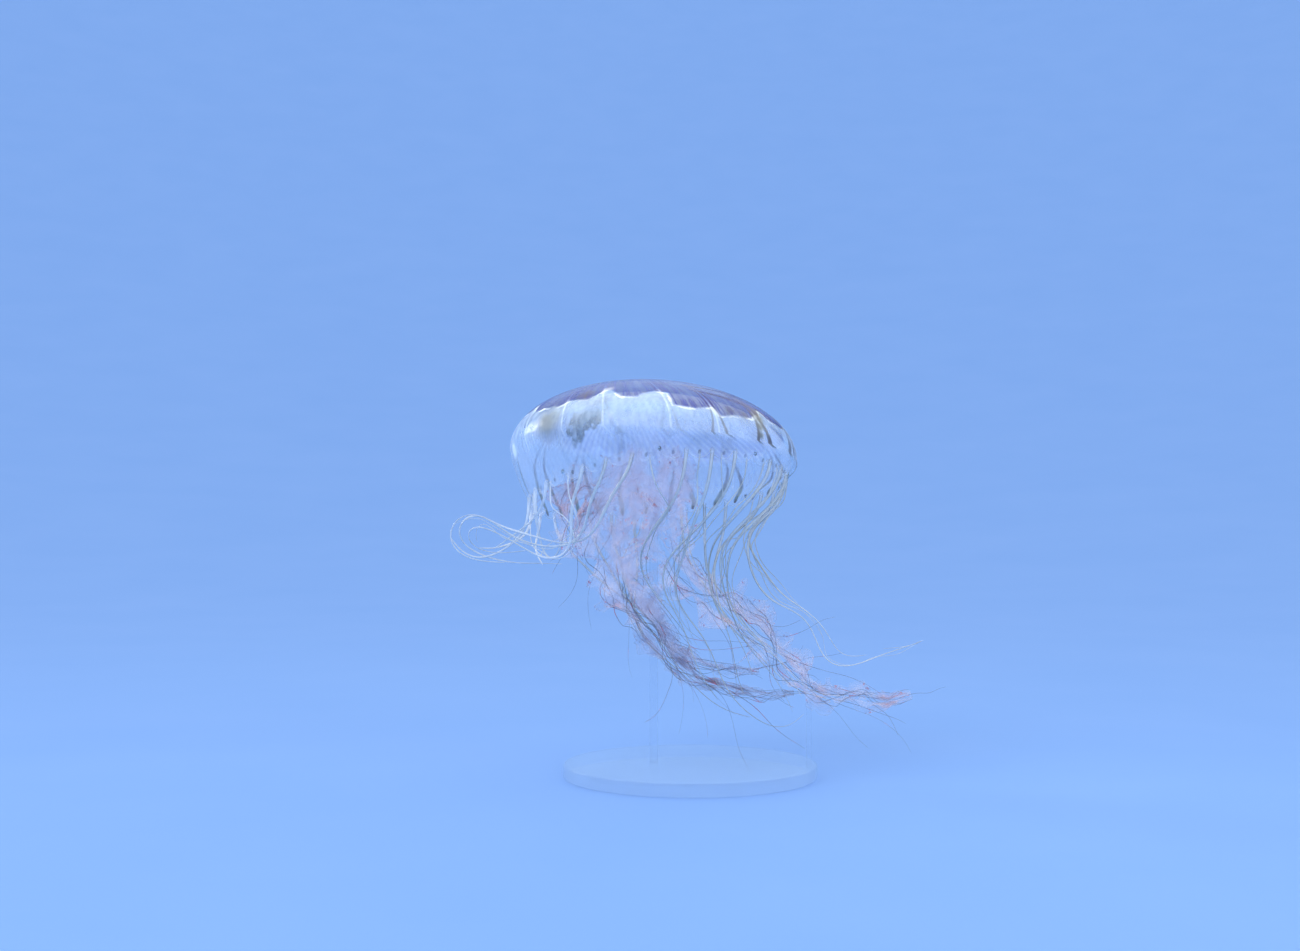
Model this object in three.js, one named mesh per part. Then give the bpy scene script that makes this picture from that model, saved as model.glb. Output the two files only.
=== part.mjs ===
// Sea nettle (Chrysaora), life size, as a still display model held on a plain stand.
// Millimetres, +Z up, +Y away from the viewer. The origin is the centre of the stand's underside.
import * as THREE from 'three';

const { clamp, degToRad, lerp, smoothstep } = THREE.MathUtils;

// ---- Bell: a low dome, widest above a skirt that ends in lappets -------------------------
const BELL_CENTRE = new THREE.Vector3(-22, 0, 191.4); // on the bell's axis, at its widest level
const BELL_PITCH = degToRad(-11); // the crown leans back
const BELL_ROLL = degToRad(3); // and a little to the right
const BELL_RADIUS = 86;
const DOME_HEIGHT = 43; // widest level to crown
const SKIRT_DEPTH = 15.4; // widest level to margin, on average
const SKIRT_LEAN = 11.4; // the left side hangs this much deeper, the right this much less
const SKIRT_TILT = 3.1; // the same for the back and the front
const SKIRT_FOLD = 2.5; // and for both sides against front and back, as the bell closes
const SKIRT_DRIFT = 4; // the drawn-in margin sits this far to the right
const MARGIN_RADIUS = 78;
const SKIRT_DRAW = 1.7; // how late on its way down the skirt draws in
const LAPPETS = 32;
const LAPPET_LENGTH = 7;
const LAPPET_CURL = 3; // how far a lappet's tip turns in
const LAPPET_ROOT = 0.2; // share of a lappet's length left in the cleft between two
const LAPPET_ROUND = 0.6; // 1 is a sine's hump, less is squarer
const WALLS = [9, 4, 1.8, 1.2]; // jelly at the crown, widest level, margin and lappet tip
const CUT = 0.3; // gap between two solids that touch in life
const DOME_SEGMENTS = 48;
const LAPPET_SEGMENTS = 4;

// ---- Mouth: the stomach's floor and the short mouth tube under the dome -------------------
const STOMACH_RADIUS = 30;
const STOMACH_LEVEL = 24; // heights above the bell's widest level
const MOUTH_TUBE_TOP = 12;
const MOUTH_LEVEL = 4;
const MOUTH_RADIUS = 18;
const MOUTH_TAPER = 1.5; // the tube is this much slimmer at its top
const ARM_RING = 10.5; // each arm's root from the mouth's centre, along both axes

// ---- Tentacles: 24, in the clefts between lappets, with a sense organ in every fourth cleft --
const TENTACLE_ROOT_RADIUS = 1.25;
const TENTACLE_TIP_RADIUS = 0.45;
const ROOT_PINCH = 0.4; // share of its radius left where a tentacle enters its cleft
const TENTACLE_STEP = 8.2;
const TENTACLE_SIDES = 4;
const SPLIT_LENGTH = 122; // a longer tentacle is made in two lengths
const JOIN_LENGTH = 95; // a tentacle has joined its bundle this far from its root,
const JOIN_SHARE = 0.6; // or after this share of a short bundle
const WAVE_LENGTH = 62;
const WAVE_HEIGHT = 1.6;
const CLEARANCE = 0.9; // gap that two strands are pushed to
const SLACK = 0.35; // and how much less of it will do
const PUSH_SHARE = 0.8; // share of what is missing that one push makes up
const LONGEST_PUSH = 1.2;
const OWN_LINKS = 4; // links of one strand nearer than this to each other aren't pushed
const PUSH_ROUNDS = 600;

// Each bundle of tentacles follows one guide: a few points of its middle line, from just under
// the bell to the longest tip. spread is the bundle's radius along it, in equal stretches.
// members are cleft number, share of the guide that the tentacle reaches, place round the bundle.
const BUNDLES = [
  {
    // front left: down, then out to the left in a curl that doubles back under itself
    guide: [[-57, -66, 168], [-60, -61, 154], [-65, -54, 141], [-79, -48, 137], [-95, -43, 142],
      [-111, -39, 149], [-126, -35, 157], [-135, -31, 152], [-137, -27, 142], [-127, -24, 134],
      [-107, -24, 131], [-89, -27, 131], [-75, -31, 128]],
    spread: [2, 5, 4, 4.5, 4],
    members: [[21, 0.9, 200], [22, 1, 80], [23, 0.84, 320]],
  },
  {
    // far left: off the rim and out to the left under the curl
    guide: [[-93, -21, 152], [-101, -20, 144], [-113, -18, 137], [-124, -18, 133],
      [-132, -18, 139], [-136, -19, 147]],
    spread: [3, 3, 4, 5],
    members: [[17, 1, 200], [15, 0.8, 60], [19, 0.62, 300]],
  },
  {
    // left: down into a small hook that turns back to the right
    guide: [[-91, -14, 148], [-90, -21, 138], [-86, -28, 129], [-78, -32, 127],
      [-71, -34, 137], [-68, -36, 146]],
    spread: [3, 3, 5],
    members: [[18, 1, 180], [14, 0.6, 10]],
  },
  {
    // back left: down behind the first arm and away to the right
    guide: [[-54, 49, 138], [-45, 38, 121], [-33, 29, 98], [-20, 24, 78], [0, 21, 58],
      [20, 18, 44], [38, 16, 37]],
    spread: [4, 5, 6, 7],
    members: [[13, 0.62, 180], [11, 0.85, 90], [10, 1, 300], [9, 0.74, 20]],
  },
  {
    // centre: across the arms to the left and back
    guide: [[-9, -72, 169], [-18, -62, 157], [-31, -50, 143], [-34, -42, 131], [-29, -36, 120],
      [-21, -32, 108], [-12, -30, 93], [-2, -29, 79]],
    spread: [3, 4, 4],
    members: [[25, 1, 220]],
  },
  {
    // centre: straight down, then the longest fall to the right
    guide: [[13, -66, 170], [5, -58, 156], [-4, -49, 142], [-12, -40, 126], [-12, -34, 110],
      [-2, -31, 92], [8, -29, 73], [17, -28, 55], [29, -27, 38], [45, -27, 27], [60, -28, 30],
      [68, -29, 40]],
    spread: [3, 5, 4, 6, 5],
    members: [[26, 1, 210], [27, 0.72, 330]],
  },
  {
    // right: gathered from the whole right side, over the second arm, then fanned out
    guide: [[40, -22, 162], [27, -28, 150], [17, -30, 138], [15, -31, 122], [19, -32, 104],
      [31, -32, 82], [43, -31, 60], [56, -30, 37]],
    spread: [5, 5, 5, 3.6, 7, 14, 18],
    members: [[29, 0.86, 20], [30, 1, 110], [31, 0.95, 200], [3, 0.8, 290]],
  },
  {
    // back right: down behind the second arm, then along the tail to its end
    guide: [[10, 56, 143], [9, 44, 132], [11, 32, 118], [19, 23, 102], [33, 17, 84],
      [51, 11, 70], [73, 6, 52], [93, 2, 47], [89, -2, 37], [76, -4, 37]],
    spread: [4, 4, 5, 6, 6],
    members: [[5, 1, 30], [6, 0.72, 150], [7, 0.86, 270]],
  },
  {
    // outer right: hangs clear of the rest, then trails far to the right and curls back
    guide: [[49, 12, 158], [38, 4, 150], [34, -4, 140], [38, -10, 127], [50, -14, 108],
      [63, -16, 102], [73, -17, 94], [79, -16, 82], [84, -15, 71], [98, -13, 70],
      [121, -11, 80], [141, -9, 89], [148, -7, 84], [137, -5, 75], [117, -4, 70]],
    spread: [3, 4, 4, 3, 6, 7],
    members: [[1, 1, 30], [2, 0.66, 210]],
  },
];

// ---- Oral arms: four frilled ribbons from the corners of the mouth ------------------------
// corner is the mouth's corner; guide is the arm's middle line under it; wide and deep are the
// half width and half depth of the frill along it, in equal stretches, lengths the cuts.
const ARM_STEP = 9.5;
const ARM_SIDES = 8;
const ARM_ROOT_DROP = 7;
const FRILL = 0.18; // share by which the frill swells and narrows
const FRILL_WIDE_TURN = 2.1; // phase of the swell from ring to ring
const FRILL_DEEP_TURN = 1.7;
const ARMS = [
  {
    name: 'front_left',
    corner: [-1, -1],
    guide: [[-40, -15, 172], [-47, -17, 151], [-46, -16, 130], [-35, -14, 106], [-21, -13, 86],
      [-10, -13, 69], [9, -14, 58], [36, -16, 52], [62, -18, 53]],
    wide: [6, 11, 13, 12, 9, 6, 2.4, 1.8, 1],
    deep: [6, 8, 8, 8, 6, 4.5, 2, 1.6, 1],
    lengths: 3,
  },
  {
    name: 'front_right',
    corner: [1, -1],
    guide: [[-13, -16, 172], [-16, -16, 148], [-9, -13, 127], [6, -12, 110], [24, -13, 97],
      [43, -15, 84], [58, -17, 65], [74, -19, 51], [95, -22, 50], [115, -25, 48], [129, -27, 52]],
    wide: [6, 10, 11, 10, 9, 10, 7, 5, 4, 3.5, 1.2],
    deep: [6, 8, 8, 7, 6, 6, 5, 4, 3.2, 2.8, 1.2],
    lengths: 3,
  },
  {
    name: 'back_left',
    corner: [-1, 1],
    guide: [[-42, 11, 172], [-57, 8, 166], [-69, 2, 156], [-72, -3, 144], [-66, -5, 132]],
    wide: [6, 8, 10, 10, 6, 2],
    deep: [6, 7, 8, 7, 5, 2],
    lengths: 2,
  },
  {
    name: 'back_right',
    corner: [1, 1],
    guide: [[-28, 15, 166], [-39, 17, 139], [-41, 16, 118], [-33, 15, 101], [-19, 14, 84],
      [-2, 13, 70], [18, 12, 63], [42, 11, 62]],
    wide: [6, 10, 11, 10, 8, 5, 3, 2, 1],
    deep: [6, 8, 8, 7, 6, 4, 2.6, 1.8, 1],
    lengths: 2,
  },
];

// ---- Stand: a flat foot and two clear rods ------------------------------------------------
const FOOT_RADIUS = 76;
const FOOT_HEIGHT = 8;
const FOOT_CHAMFER = 1.2;
const FOOT_SIDES = 48;
const ROD_SIDES = 16;
const ROD_LINK = 20; // length of the pieces in which a rod keeps strands off
const BELL_ROD_RADIUS = 2.5;
const ARM_ROD_RADIUS = 1.6;
const ARM_ROD_X = 64; // it meets the second arm here


const JELLY = new THREE.MeshStandardMaterial({ color: 0xb9c3e6, roughness: 0.25, metalness: 0 });
const FRILLS = new THREE.MeshStandardMaterial({ color: 0xd9b3cf, roughness: 0.4, metalness: 0 });
const TENTACLE = new THREE.MeshStandardMaterial({ color: 0xd8dcec, roughness: 0.3, metalness: 0 });
const ACRYLIC = new THREE.MeshStandardMaterial({ color: 0xe6eaf0, roughness: 0.1, metalness: 0 });

const model = new THREE.Group();
const bell = new THREE.Group();
bell.position.copy(BELL_CENTRE);
bell.rotation.set(BELL_PITCH, BELL_ROLL, 0);
bell.updateMatrixWorld(true);
model.add(bell);

// A value read from a short list spread evenly over 0..1.
function along(list, share) {
  const place = clamp(share, 0, 1) * (list.length - 1);
  const i = Math.min(Math.floor(place), list.length - 2);
  return lerp(list[i], list[i + 1], place - i);
}

function addMesh(parent, name, geometry, material) {
  const mesh = new THREE.Mesh(geometry, material);
  mesh.name = name;
  parent.add(mesh);
  return mesh;
}

// ---- Bell -----------------------------------------------------------------------------------

// The outer line from crown (0) by widest level (1) and margin (2) to lappet tip (3).
function outerLine(u) {
  if (u <= 1) {
    const angle = u * Math.PI / 2;
    return new THREE.Vector2(BELL_RADIUS * Math.sin(angle), DOME_HEIGHT * Math.cos(angle));
  }
  if (u <= 2) {
    const draw = (u - 1) ** SKIRT_DRAW;
    return new THREE.Vector2(lerp(BELL_RADIUS, MARGIN_RADIUS, draw), -SKIRT_DEPTH * (u - 1));
  }
  return new THREE.Vector2(
    MARGIN_RADIUS - LAPPET_CURL * (u - 2),
    -SKIRT_DEPTH - LAPPET_LENGTH * (u - 2),
  );
}

// The inner line, one wall's thickness inside the outer one.
function innerLine(u) {
  const step = 0.01;
  const ahead = outerLine(Math.min(u + step, 3));
  const run = ahead.sub(outerLine(Math.max(u - step, 0))).normalize();
  const wall = along(WALLS, u / 3);
  const point = outerLine(u);
  return u === 0
    ? new THREE.Vector2(0, point.y - wall)
    : new THREE.Vector2(point.x + run.y * wall, point.y - run.x * wall);
}

function skirtDepth(azimuth) {
  return SKIRT_DEPTH - SKIRT_LEAN * Math.cos(azimuth) + SKIRT_TILT * Math.sin(azimuth)
    + SKIRT_FOLD * Math.cos(2 * azimuth);
}

function lappetShare(azimuth) {
  const turn = (azimuth / (2 * Math.PI) + 1) * LAPPETS;
  const across = turn - Math.floor(turn + 1e-6);
  return lerp(LAPPET_ROOT, 1, Math.max(0, Math.sin(Math.PI * across)) ** LAPPET_ROUND);
}

// Gives the skirt its uneven depth and its hem of lappets.
function shapeSkirt(geometry) {
  const place = geometry.attributes.position;
  for (let i = 0; i < place.count; i++) {
    const z = place.getZ(i);
    if (z >= 0) continue;
    const azimuth = Math.atan2(place.getY(i), place.getX(i));
    const share = Math.min(1, -z / SKIRT_DEPTH);
    const beyond = Math.max(0, -z - SKIRT_DEPTH);
    place.setX(i, place.getX(i) + SKIRT_DRIFT * share);
    place.setZ(i, -skirtDepth(azimuth) * share - beyond * lappetShare(azimuth));
  }
}

// A shell between two places on the bell's line, lathed about the bell's axis.
function bellShell(stations, segments) {
  const inner = stations.map(innerLine);
  const outer = stations.map(outerLine).reverse();
  const profile = [...inner, ...outer];
  if (stations[0] > 0) profile.push(inner[0].clone());
  const geometry = new THREE.LatheGeometry(profile, segments);
  geometry.rotateX(Math.PI / 2);
  return geometry;
}

function makeBell() {
  const dome = bellShell([0, 0.2, 0.4, 0.6, 0.8, 1], DOME_SEGMENTS);
  addMesh(bell, 'bell_dome', dome, JELLY);
  const skirtTop = 1 + CUT / skirtDepth(-Math.PI / 4);
  const skirt = bellShell([skirtTop, 1.55, 2, 2.5, 3], LAPPETS * LAPPET_SEGMENTS);
  shapeSkirt(skirt);
  addMesh(bell, 'bell_margin', skirt, JELLY);
}

function makeMouth() {
  const ceiling = [0.3, 0.15, 0].map((u) => innerLine(u).add(new THREE.Vector2(0, -2 * CUT)));
  const profile = [
    new THREE.Vector2(0, MOUTH_LEVEL),
    new THREE.Vector2(MOUTH_RADIUS, MOUTH_LEVEL),
    new THREE.Vector2(MOUTH_RADIUS - MOUTH_TAPER, MOUTH_TUBE_TOP),
    new THREE.Vector2(STOMACH_RADIUS, STOMACH_LEVEL),
    ...ceiling,
  ];
  const mouth = new THREE.LatheGeometry(profile, DOME_SEGMENTS / 2);
  mouth.rotateX(Math.PI / 2);
  addMesh(bell, 'stomach', mouth, FRILLS);
}

// ---- Strands: arms and tentacles as chains of points with a radius at each -----------------

// Where the tentacle of a cleft starts, in the model's frame.
function cleftPoint(cleft) {
  const azimuth = cleft * 2 * Math.PI / LAPPETS;
  const radius = MARGIN_RADIUS - along(WALLS, 2 / 3) / 2;
  const drop = skirtDepth(azimuth) + LAPPET_LENGTH * LAPPET_ROOT + 2 * CUT;
  const point = new THREE.Vector3(
    radius * Math.cos(azimuth) + SKIRT_DRIFT,
    radius * Math.sin(azimuth),
    -drop,
  );
  return point.applyMatrix4(bell.matrixWorld);
}

const BELL_DOWN = new THREE.Vector3(0, 0, -1).transformDirection(bell.matrixWorld);

function curveThrough(points) {
  return new THREE.CatmullRomCurve3(points, false, 'centripetal');
}

function toVectors(list) {
  return list.map((p) => new THREE.Vector3(...p));
}

// Pushes strands apart until no two, and no two stretches of one, are closer than CLEARANCE.
function keepApart(strands) {
  const links = [];
  for (const strand of strands) {
    for (let i = 0; i < strand.points.length - 1; i++) {
      links.push({ strand, i, line: new THREE.Line3(strand.points[i], strand.points[i + 1]) });
    }
  }
  const near = new THREE.Vector3();
  const far = new THREE.Vector3();
  for (let round = 0; round < PUSH_ROUNDS; round++) {
    let clashes = 0;
    for (const strand of strands) strand.pushes = strand.points.map(() => new THREE.Vector3());
    for (let a = 0; a < links.length; a++) {
      for (let b = a + 1; b < links.length; b++) {
        const [p, q] = [links[a], links[b]];
        if (p.strand.mobility + q.strand.mobility === 0) continue;
        if (p.strand === q.strand && q.i - p.i < OWN_LINKS) continue;
        const need = Math.max(p.strand.radii[p.i], p.strand.radii[p.i + 1])
          + Math.max(q.strand.radii[q.i], q.strand.radii[q.i + 1]) + CLEARANCE;
        const reach = need + p.strand.step + q.strand.step;
        if (p.line.start.distanceToSquared(q.line.start) > reach * reach) continue;
        const gap = Math.sqrt(p.line.distanceSqToLine3(q.line, near, far));
        if (gap >= need) continue;
        if (gap < need - SLACK) clashes++;
        const away = near.clone().sub(far);
        if (gap < 1e-3) away.set(0, -1, 0);
        away.setLength((need - gap) * PUSH_SHARE);
        for (const [link, sign] of [[p, 1], [q, -1]]) {
          const weight = sign * link.strand.mobility;
          link.strand.pushes[link.i].addScaledVector(away, weight);
          link.strand.pushes[link.i + 1].addScaledVector(away, weight);
        }
      }
    }
    if (clashes === 0) return;
    for (const strand of strands) {
      const { points, pushes } = strand;
      for (let i = strand.held; i < points.length; i++) {
        const before = pushes[i - 1] ?? pushes[i];
        const after = pushes[i + 1] ?? pushes[i];
        const push = pushes[i].clone().multiplyScalar(0.5);
        push.addScaledVector(before, 0.25).addScaledVector(after, 0.25);
        points[i].add(push.clampLength(0, LONGEST_PUSH));
      }
    }
  }
  throw new Error('two strands still touch');
}

function rodStrand(x, y, top, radius) {
  const points = [];
  for (let z = FOOT_HEIGHT; z < top; z += ROD_LINK) points.push(new THREE.Vector3(x, y, z));
  points.push(new THREE.Vector3(x, y, top));
  const radii = points.map(() => radius);
  return { points, radii, step: ROD_LINK, mobility: 0, held: points.length };
}

function armStrand(arm) {
  const root = new THREE.Vector3(
    arm.corner[0] * ARM_RING,
    arm.corner[1] * ARM_RING,
    MOUTH_LEVEL - 2 * CUT,
  ).applyMatrix4(bell.matrixWorld);
  const below = root.clone().addScaledVector(BELL_DOWN, ARM_ROOT_DROP);
  const curve = curveThrough([root, below, ...toVectors(arm.guide)]);
  const steps = Math.round(curve.getLength() / ARM_STEP / arm.lengths) * arm.lengths;
  const points = curve.getSpacedPoints(steps);
  const radii = points.map((_, i) => along(arm.wide, i / steps) * (1 + FRILL));
  return { ...arm, points, radii, step: ARM_STEP, mobility: 1, held: 1 };
}

function tentacleStrand(bundle, [cleft, reach, turn]) {
  const roots = bundle.members.map(([member]) => cleftPoint(member));
  const start = roots.reduce((sum, p) => sum.add(p), new THREE.Vector3());
  start.divideScalar(roots.length);
  const below = start.clone().addScaledVector(BELL_DOWN, LAPPET_LENGTH);
  const curve = curveThrough([start, below, ...toVectors(bundle.guide)]);
  const whole = curve.getLength();
  const join = Math.min(JOIN_LENGTH, JOIN_SHARE * whole);
  const root = cleftPoint(cleft);
  const away = root.clone().sub(start);
  const steps = Math.round(whole * reach / TENTACLE_STEP);
  const points = [];
  for (let i = 0; i <= steps; i++) {
    const share = reach * i / steps;
    const joined = smoothstep(share * whole, LAPPET_LENGTH, join);
    const run = curve.getTangentAt(share);
    const side = new THREE.Vector3(run.z, 0, -run.x).normalize();
    const angle = degToRad(turn);
    const wave = 2 * Math.PI * share * whole / WAVE_LENGTH + angle;
    const out = along(bundle.spread, share) * joined;
    const ripple = WAVE_HEIGHT * joined;
    const point = curve.getPointAt(share).addScaledVector(away, 1 - joined);
    point.addScaledVector(side, out * Math.cos(angle) + ripple * Math.sin(wave));
    point.y += out * Math.sin(angle) + ripple * Math.cos(wave);
    points.push(point);
  }
  const radii = points.map((_, i) => lerp(TENTACLE_ROOT_RADIUS, TENTACLE_TIP_RADIUS, i / steps));
  radii[0] *= ROOT_PINCH;
  return { cleft, points, radii, step: TENTACLE_STEP, mobility: 1, held: 2 };
}

// ---- Strand solids --------------------------------------------------------------------------

// One frame per point, turned as little as possible from each to the next. The first ring
// lies flat against the bell.
function framesAlong(points) {
  const frames = [];
  let side = new THREE.Vector3(0, 1, 0);
  for (let i = 0; i < points.length; i++) {
    const before = points[Math.max(i - 1, 0)];
    const after = points[Math.min(i + 1, points.length - 1)];
    const run = i === 0 ? BELL_DOWN.clone() : after.clone().sub(before).normalize();
    if (i === 0) side = new THREE.Vector3(1, 0, 0);
    side = side.clone().addScaledVector(run, -side.dot(run)).normalize();
    frames.push({ run, side, up: side.clone().cross(run) });
  }
  return frames;
}

// A closed cylinder bent along rings from first to last; size gives the half width and depth.
function bentCylinder(strand, first, last, sides, size) {
  const steps = last - first;
  const frames = framesAlong(strand.points);
  const geometry = new THREE.CylinderGeometry(1, 1, 1, sides, steps);
  const place = geometry.attributes.position;
  for (let i = 0; i < place.count; i++) {
    const ring = first + Math.round((place.getY(i) + 0.5) * steps);
    const { run, side, up } = frames[ring];
    const [wide, deep] = size(ring);
    const point = strand.points[ring].clone();
    if (ring === first && first > 0) point.addScaledVector(run, CUT / 2);
    if (ring === last && last < strand.points.length - 1) point.addScaledVector(run, -CUT / 2);
    point.addScaledVector(side, place.getX(i) * wide);
    point.addScaledVector(up, place.getZ(i) * deep);
    place.setXYZ(i, point.x, point.y, point.z);
  }
  return geometry;
}

function makeArm(strand) {
  const rings = strand.points.length - 1;
  const size = (ring) => {
    const share = ring / rings;
    const swell = 1 + FRILL * Math.sin(ring * FRILL_WIDE_TURN + strand.corner[0]);
    const shrink = 1 + FRILL * Math.cos(ring * FRILL_DEEP_TURN + strand.corner[1]);
    return [along(strand.wide, share) * swell, along(strand.deep, share) * shrink];
  };
  for (let length = 0; length < strand.lengths; length++) {
    const first = length * rings / strand.lengths;
    const last = (length + 1) * rings / strand.lengths;
    const name = `oral_arm_${strand.name}_${length + 1}`;
    addMesh(model, name, bentCylinder(strand, first, last, ARM_SIDES, size), FRILLS);
  }
}

function makeTentacle(strand, number) {
  const rings = strand.points.length - 1;
  const label = `tentacle_${String(number).padStart(2, '0')}`;
  const size = (ring) => [strand.radii[ring], strand.radii[ring]];
  if (rings * TENTACLE_STEP < SPLIT_LENGTH) {
    addMesh(model, label, bentCylinder(strand, 0, rings, TENTACLE_SIDES, size), TENTACLE);
    return;
  }
  const half = Math.round(rings / 2);
  const upper = bentCylinder(strand, 0, half, TENTACLE_SIDES, size);
  const lower = bentCylinder(strand, half, rings, TENTACLE_SIDES, size);
  addMesh(model, `${label}_upper`, upper, TENTACLE);
  addMesh(model, `${label}_lower`, lower, TENTACLE);
}

// ---- Stand ----------------------------------------------------------------------------------

function makeFoot() {
  const profile = [
    new THREE.Vector2(0, 0),
    new THREE.Vector2(FOOT_RADIUS - FOOT_CHAMFER, 0),
    new THREE.Vector2(FOOT_RADIUS, FOOT_CHAMFER),
    new THREE.Vector2(FOOT_RADIUS, FOOT_HEIGHT - FOOT_CHAMFER),
    new THREE.Vector2(FOOT_RADIUS - FOOT_CHAMFER, FOOT_HEIGHT),
    new THREE.Vector2(0, FOOT_HEIGHT),
  ];
  const foot = new THREE.LatheGeometry(profile, FOOT_SIDES);
  foot.rotateX(Math.PI / 2);
  addMesh(model, 'stand_foot', foot, ACRYLIC);
}

function makeRod(name, x, y, top, radius) {
  const length = top - FOOT_HEIGHT - CUT;
  const rod = new THREE.CylinderGeometry(radius, radius, length, ROD_SIDES);
  rod.rotateX(Math.PI / 2);
  const mesh = addMesh(model, name, rod, ACRYLIC);
  mesh.position.set(x, y, top - length / 2);
}

// ---- Assembly -------------------------------------------------------------------------------

makeBell();
makeMouth();
makeFoot();

const mouth = new THREE.Vector3(0, 0, MOUTH_LEVEL).applyMatrix4(bell.matrixWorld);
const mouthRodTop = mouth.z - CUT - BELL_ROD_RADIUS * Math.abs(Math.sin(BELL_PITCH)) - CUT;
makeRod('stand_rod_bell', mouth.x, mouth.y, mouthRodTop, BELL_ROD_RADIUS);
const bellRod = rodStrand(mouth.x, mouth.y, mouthRodTop, BELL_ROD_RADIUS);

const arms = ARMS.map(armStrand);
keepApart([bellRod, ...arms]);
arms.forEach(makeArm);

// The second rod carries the trailing end of the second arm.
const carried = arms[1];
const rest = carried.points.reduce((best, p) => (
  Math.abs(p.x - ARM_ROD_X) + p.z < Math.abs(best.x - ARM_ROD_X) + best.z ? p : best));
const restDepth = carried.radii[carried.points.indexOf(rest)];
const armRodTop = rest.z - restDepth - 2 * ARM_ROD_RADIUS; // the arm slopes over the rod
makeRod('stand_rod_arm', rest.x, rest.y, armRodTop, ARM_ROD_RADIUS);
const armRod = rodStrand(rest.x, rest.y, armRodTop, ARM_ROD_RADIUS);

for (const arm of arms) arm.mobility = 0;
const tentacles = BUNDLES.flatMap((bundle) => (
  bundle.members.map((member) => tentacleStrand(bundle, member))));
keepApart([bellRod, armRod, ...arms, ...tentacles]);
tentacles.sort((a, b) => a.cleft - b.cleft);
tentacles.forEach((strand, i) => makeTentacle(strand, i + 1));

export default model;
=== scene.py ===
import functools
import math

import bpy
import numpy as np
from bpy.props import FloatProperty, FloatVectorProperty, IntProperty, PointerProperty
from bpy.types import NodeSocket, Operator, Panel, PropertyGroup
from mathutils import Matrix, Vector, kdtree


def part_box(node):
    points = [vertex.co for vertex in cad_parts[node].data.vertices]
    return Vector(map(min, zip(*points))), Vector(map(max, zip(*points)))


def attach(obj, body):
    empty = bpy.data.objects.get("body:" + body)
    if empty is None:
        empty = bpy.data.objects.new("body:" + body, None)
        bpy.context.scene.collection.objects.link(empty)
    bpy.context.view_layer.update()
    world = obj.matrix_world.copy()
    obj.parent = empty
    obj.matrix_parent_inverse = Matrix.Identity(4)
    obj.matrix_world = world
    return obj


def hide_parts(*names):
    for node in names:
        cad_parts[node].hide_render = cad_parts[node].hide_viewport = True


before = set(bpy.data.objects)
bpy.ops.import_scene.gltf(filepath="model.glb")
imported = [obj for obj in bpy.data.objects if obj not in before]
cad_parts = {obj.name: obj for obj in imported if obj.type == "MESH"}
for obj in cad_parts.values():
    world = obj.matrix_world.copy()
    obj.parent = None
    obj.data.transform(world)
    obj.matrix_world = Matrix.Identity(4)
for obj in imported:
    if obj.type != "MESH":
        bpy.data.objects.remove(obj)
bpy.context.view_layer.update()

bl_info = {"name": "Sea nettle display model", "version": (1, 0, 0), "blender": (4, 5, 0),
    "location": "3D View > Sidebar > Sea nettle",
    "description": "Models a life-size sea nettle jellyfish on a clear acrylic stand",
    "category": "Add Mesh"}

MM = 0.001
FULL_TURN = 2 * math.pi

# ---- The bell's outline, as the CAD part has it, in millimetres ---------------------------
BELL_CENTRE = (-22, 0, 191.4)
BELL_PITCH = math.radians(-11)
BELL_ROLL = math.radians(3)
BELL_RADIUS = 86
DOME_HEIGHT = 43
SKIRT_DEPTH = 15.4
SKIRT_LEAN = 11.4
SKIRT_TILT = 3.1
SKIRT_FOLD = 2.5
SKIRT_DRIFT = 4
MARGIN_RADIUS = 78
SKIRT_DRAW = 1.7
LAPPETS = 32
LAPPET_LENGTH = 7
LAPPET_CURL = 3
LAPPET_ROOT = 0.2
LAPPET_ROUND = 0.6
# The wall's thickness at the crown, the widest level, the margin and a lappet's tip.
WALLS = (9, 4, 1.8, 1.2)
POUCHES = 16
POUCH = FULL_TURN / POUCHES
STOMACH_RADIUS = 30
STOMACH_LEVEL = 24
MOUTH_TUBE_TOP = 12
MOUTH_LEVEL = 4
MOUTH_RADIUS = 18

TO_MODEL = (Matrix.Translation(Vector(BELL_CENTRE) * MM) @ Matrix.Rotation(BELL_PITCH, 4, "X")
    @ Matrix.Rotation(BELL_ROLL, 4, "Y") @ Matrix.Scale(MM, 4))
BELL_UP = np.array(TO_MODEL.to_3x3() @ Vector((0, 0, 1))) / MM

ARM_SIDES = 8
TENTACLE_SIDES = 4
SINGLE_TENTACLES = range(10, 16)
TENTACLES = range(1, 25)
ARMS = ("front_left", "front_right", "back_left", "back_right")
ARM_LENGTHS = {"front_left": 3, "front_right": 3, "back_left": 2, "back_right": 2}
EAST = np.array((1.0, 0, 0))


# ---- Colour and materials -----------------------------------------------------------------
def linear(code):
    """A linear colour from an sRGB hex code."""
    shares = [int(code[i : i + 2], 16) / 255 for i in (0, 2, 4)]
    return tuple(s / 12.92 if s <= 0.04045 else ((s + 0.055) / 1.055) ** 2.4 for s in shares)


SHORT_NAMES = {"times": ("Math", {"operation": "MULTIPLY"}), "plus": ("Math", {"operation": "ADD"}),
    "less": ("Math", {"operation": "SUBTRACT"}), "over": ("Math", {"operation": "DIVIDE"}),
    "size": ("Math", {"operation": "ABSOLUTE"}), "most": ("Math", {"operation": "MAXIMUM"}),
    "least": ("Math", {"operation": "MINIMUM"}), "ramp": ("MapRange", {}),
    "soft": ("MapRange", {"interpolation_type": "SMOOTHSTEP"}),
    "mix": ("Mix", {"data_type": "RGBA", "clamp_factor": True, "output": 2})}
DENSEST = 0.97


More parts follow.
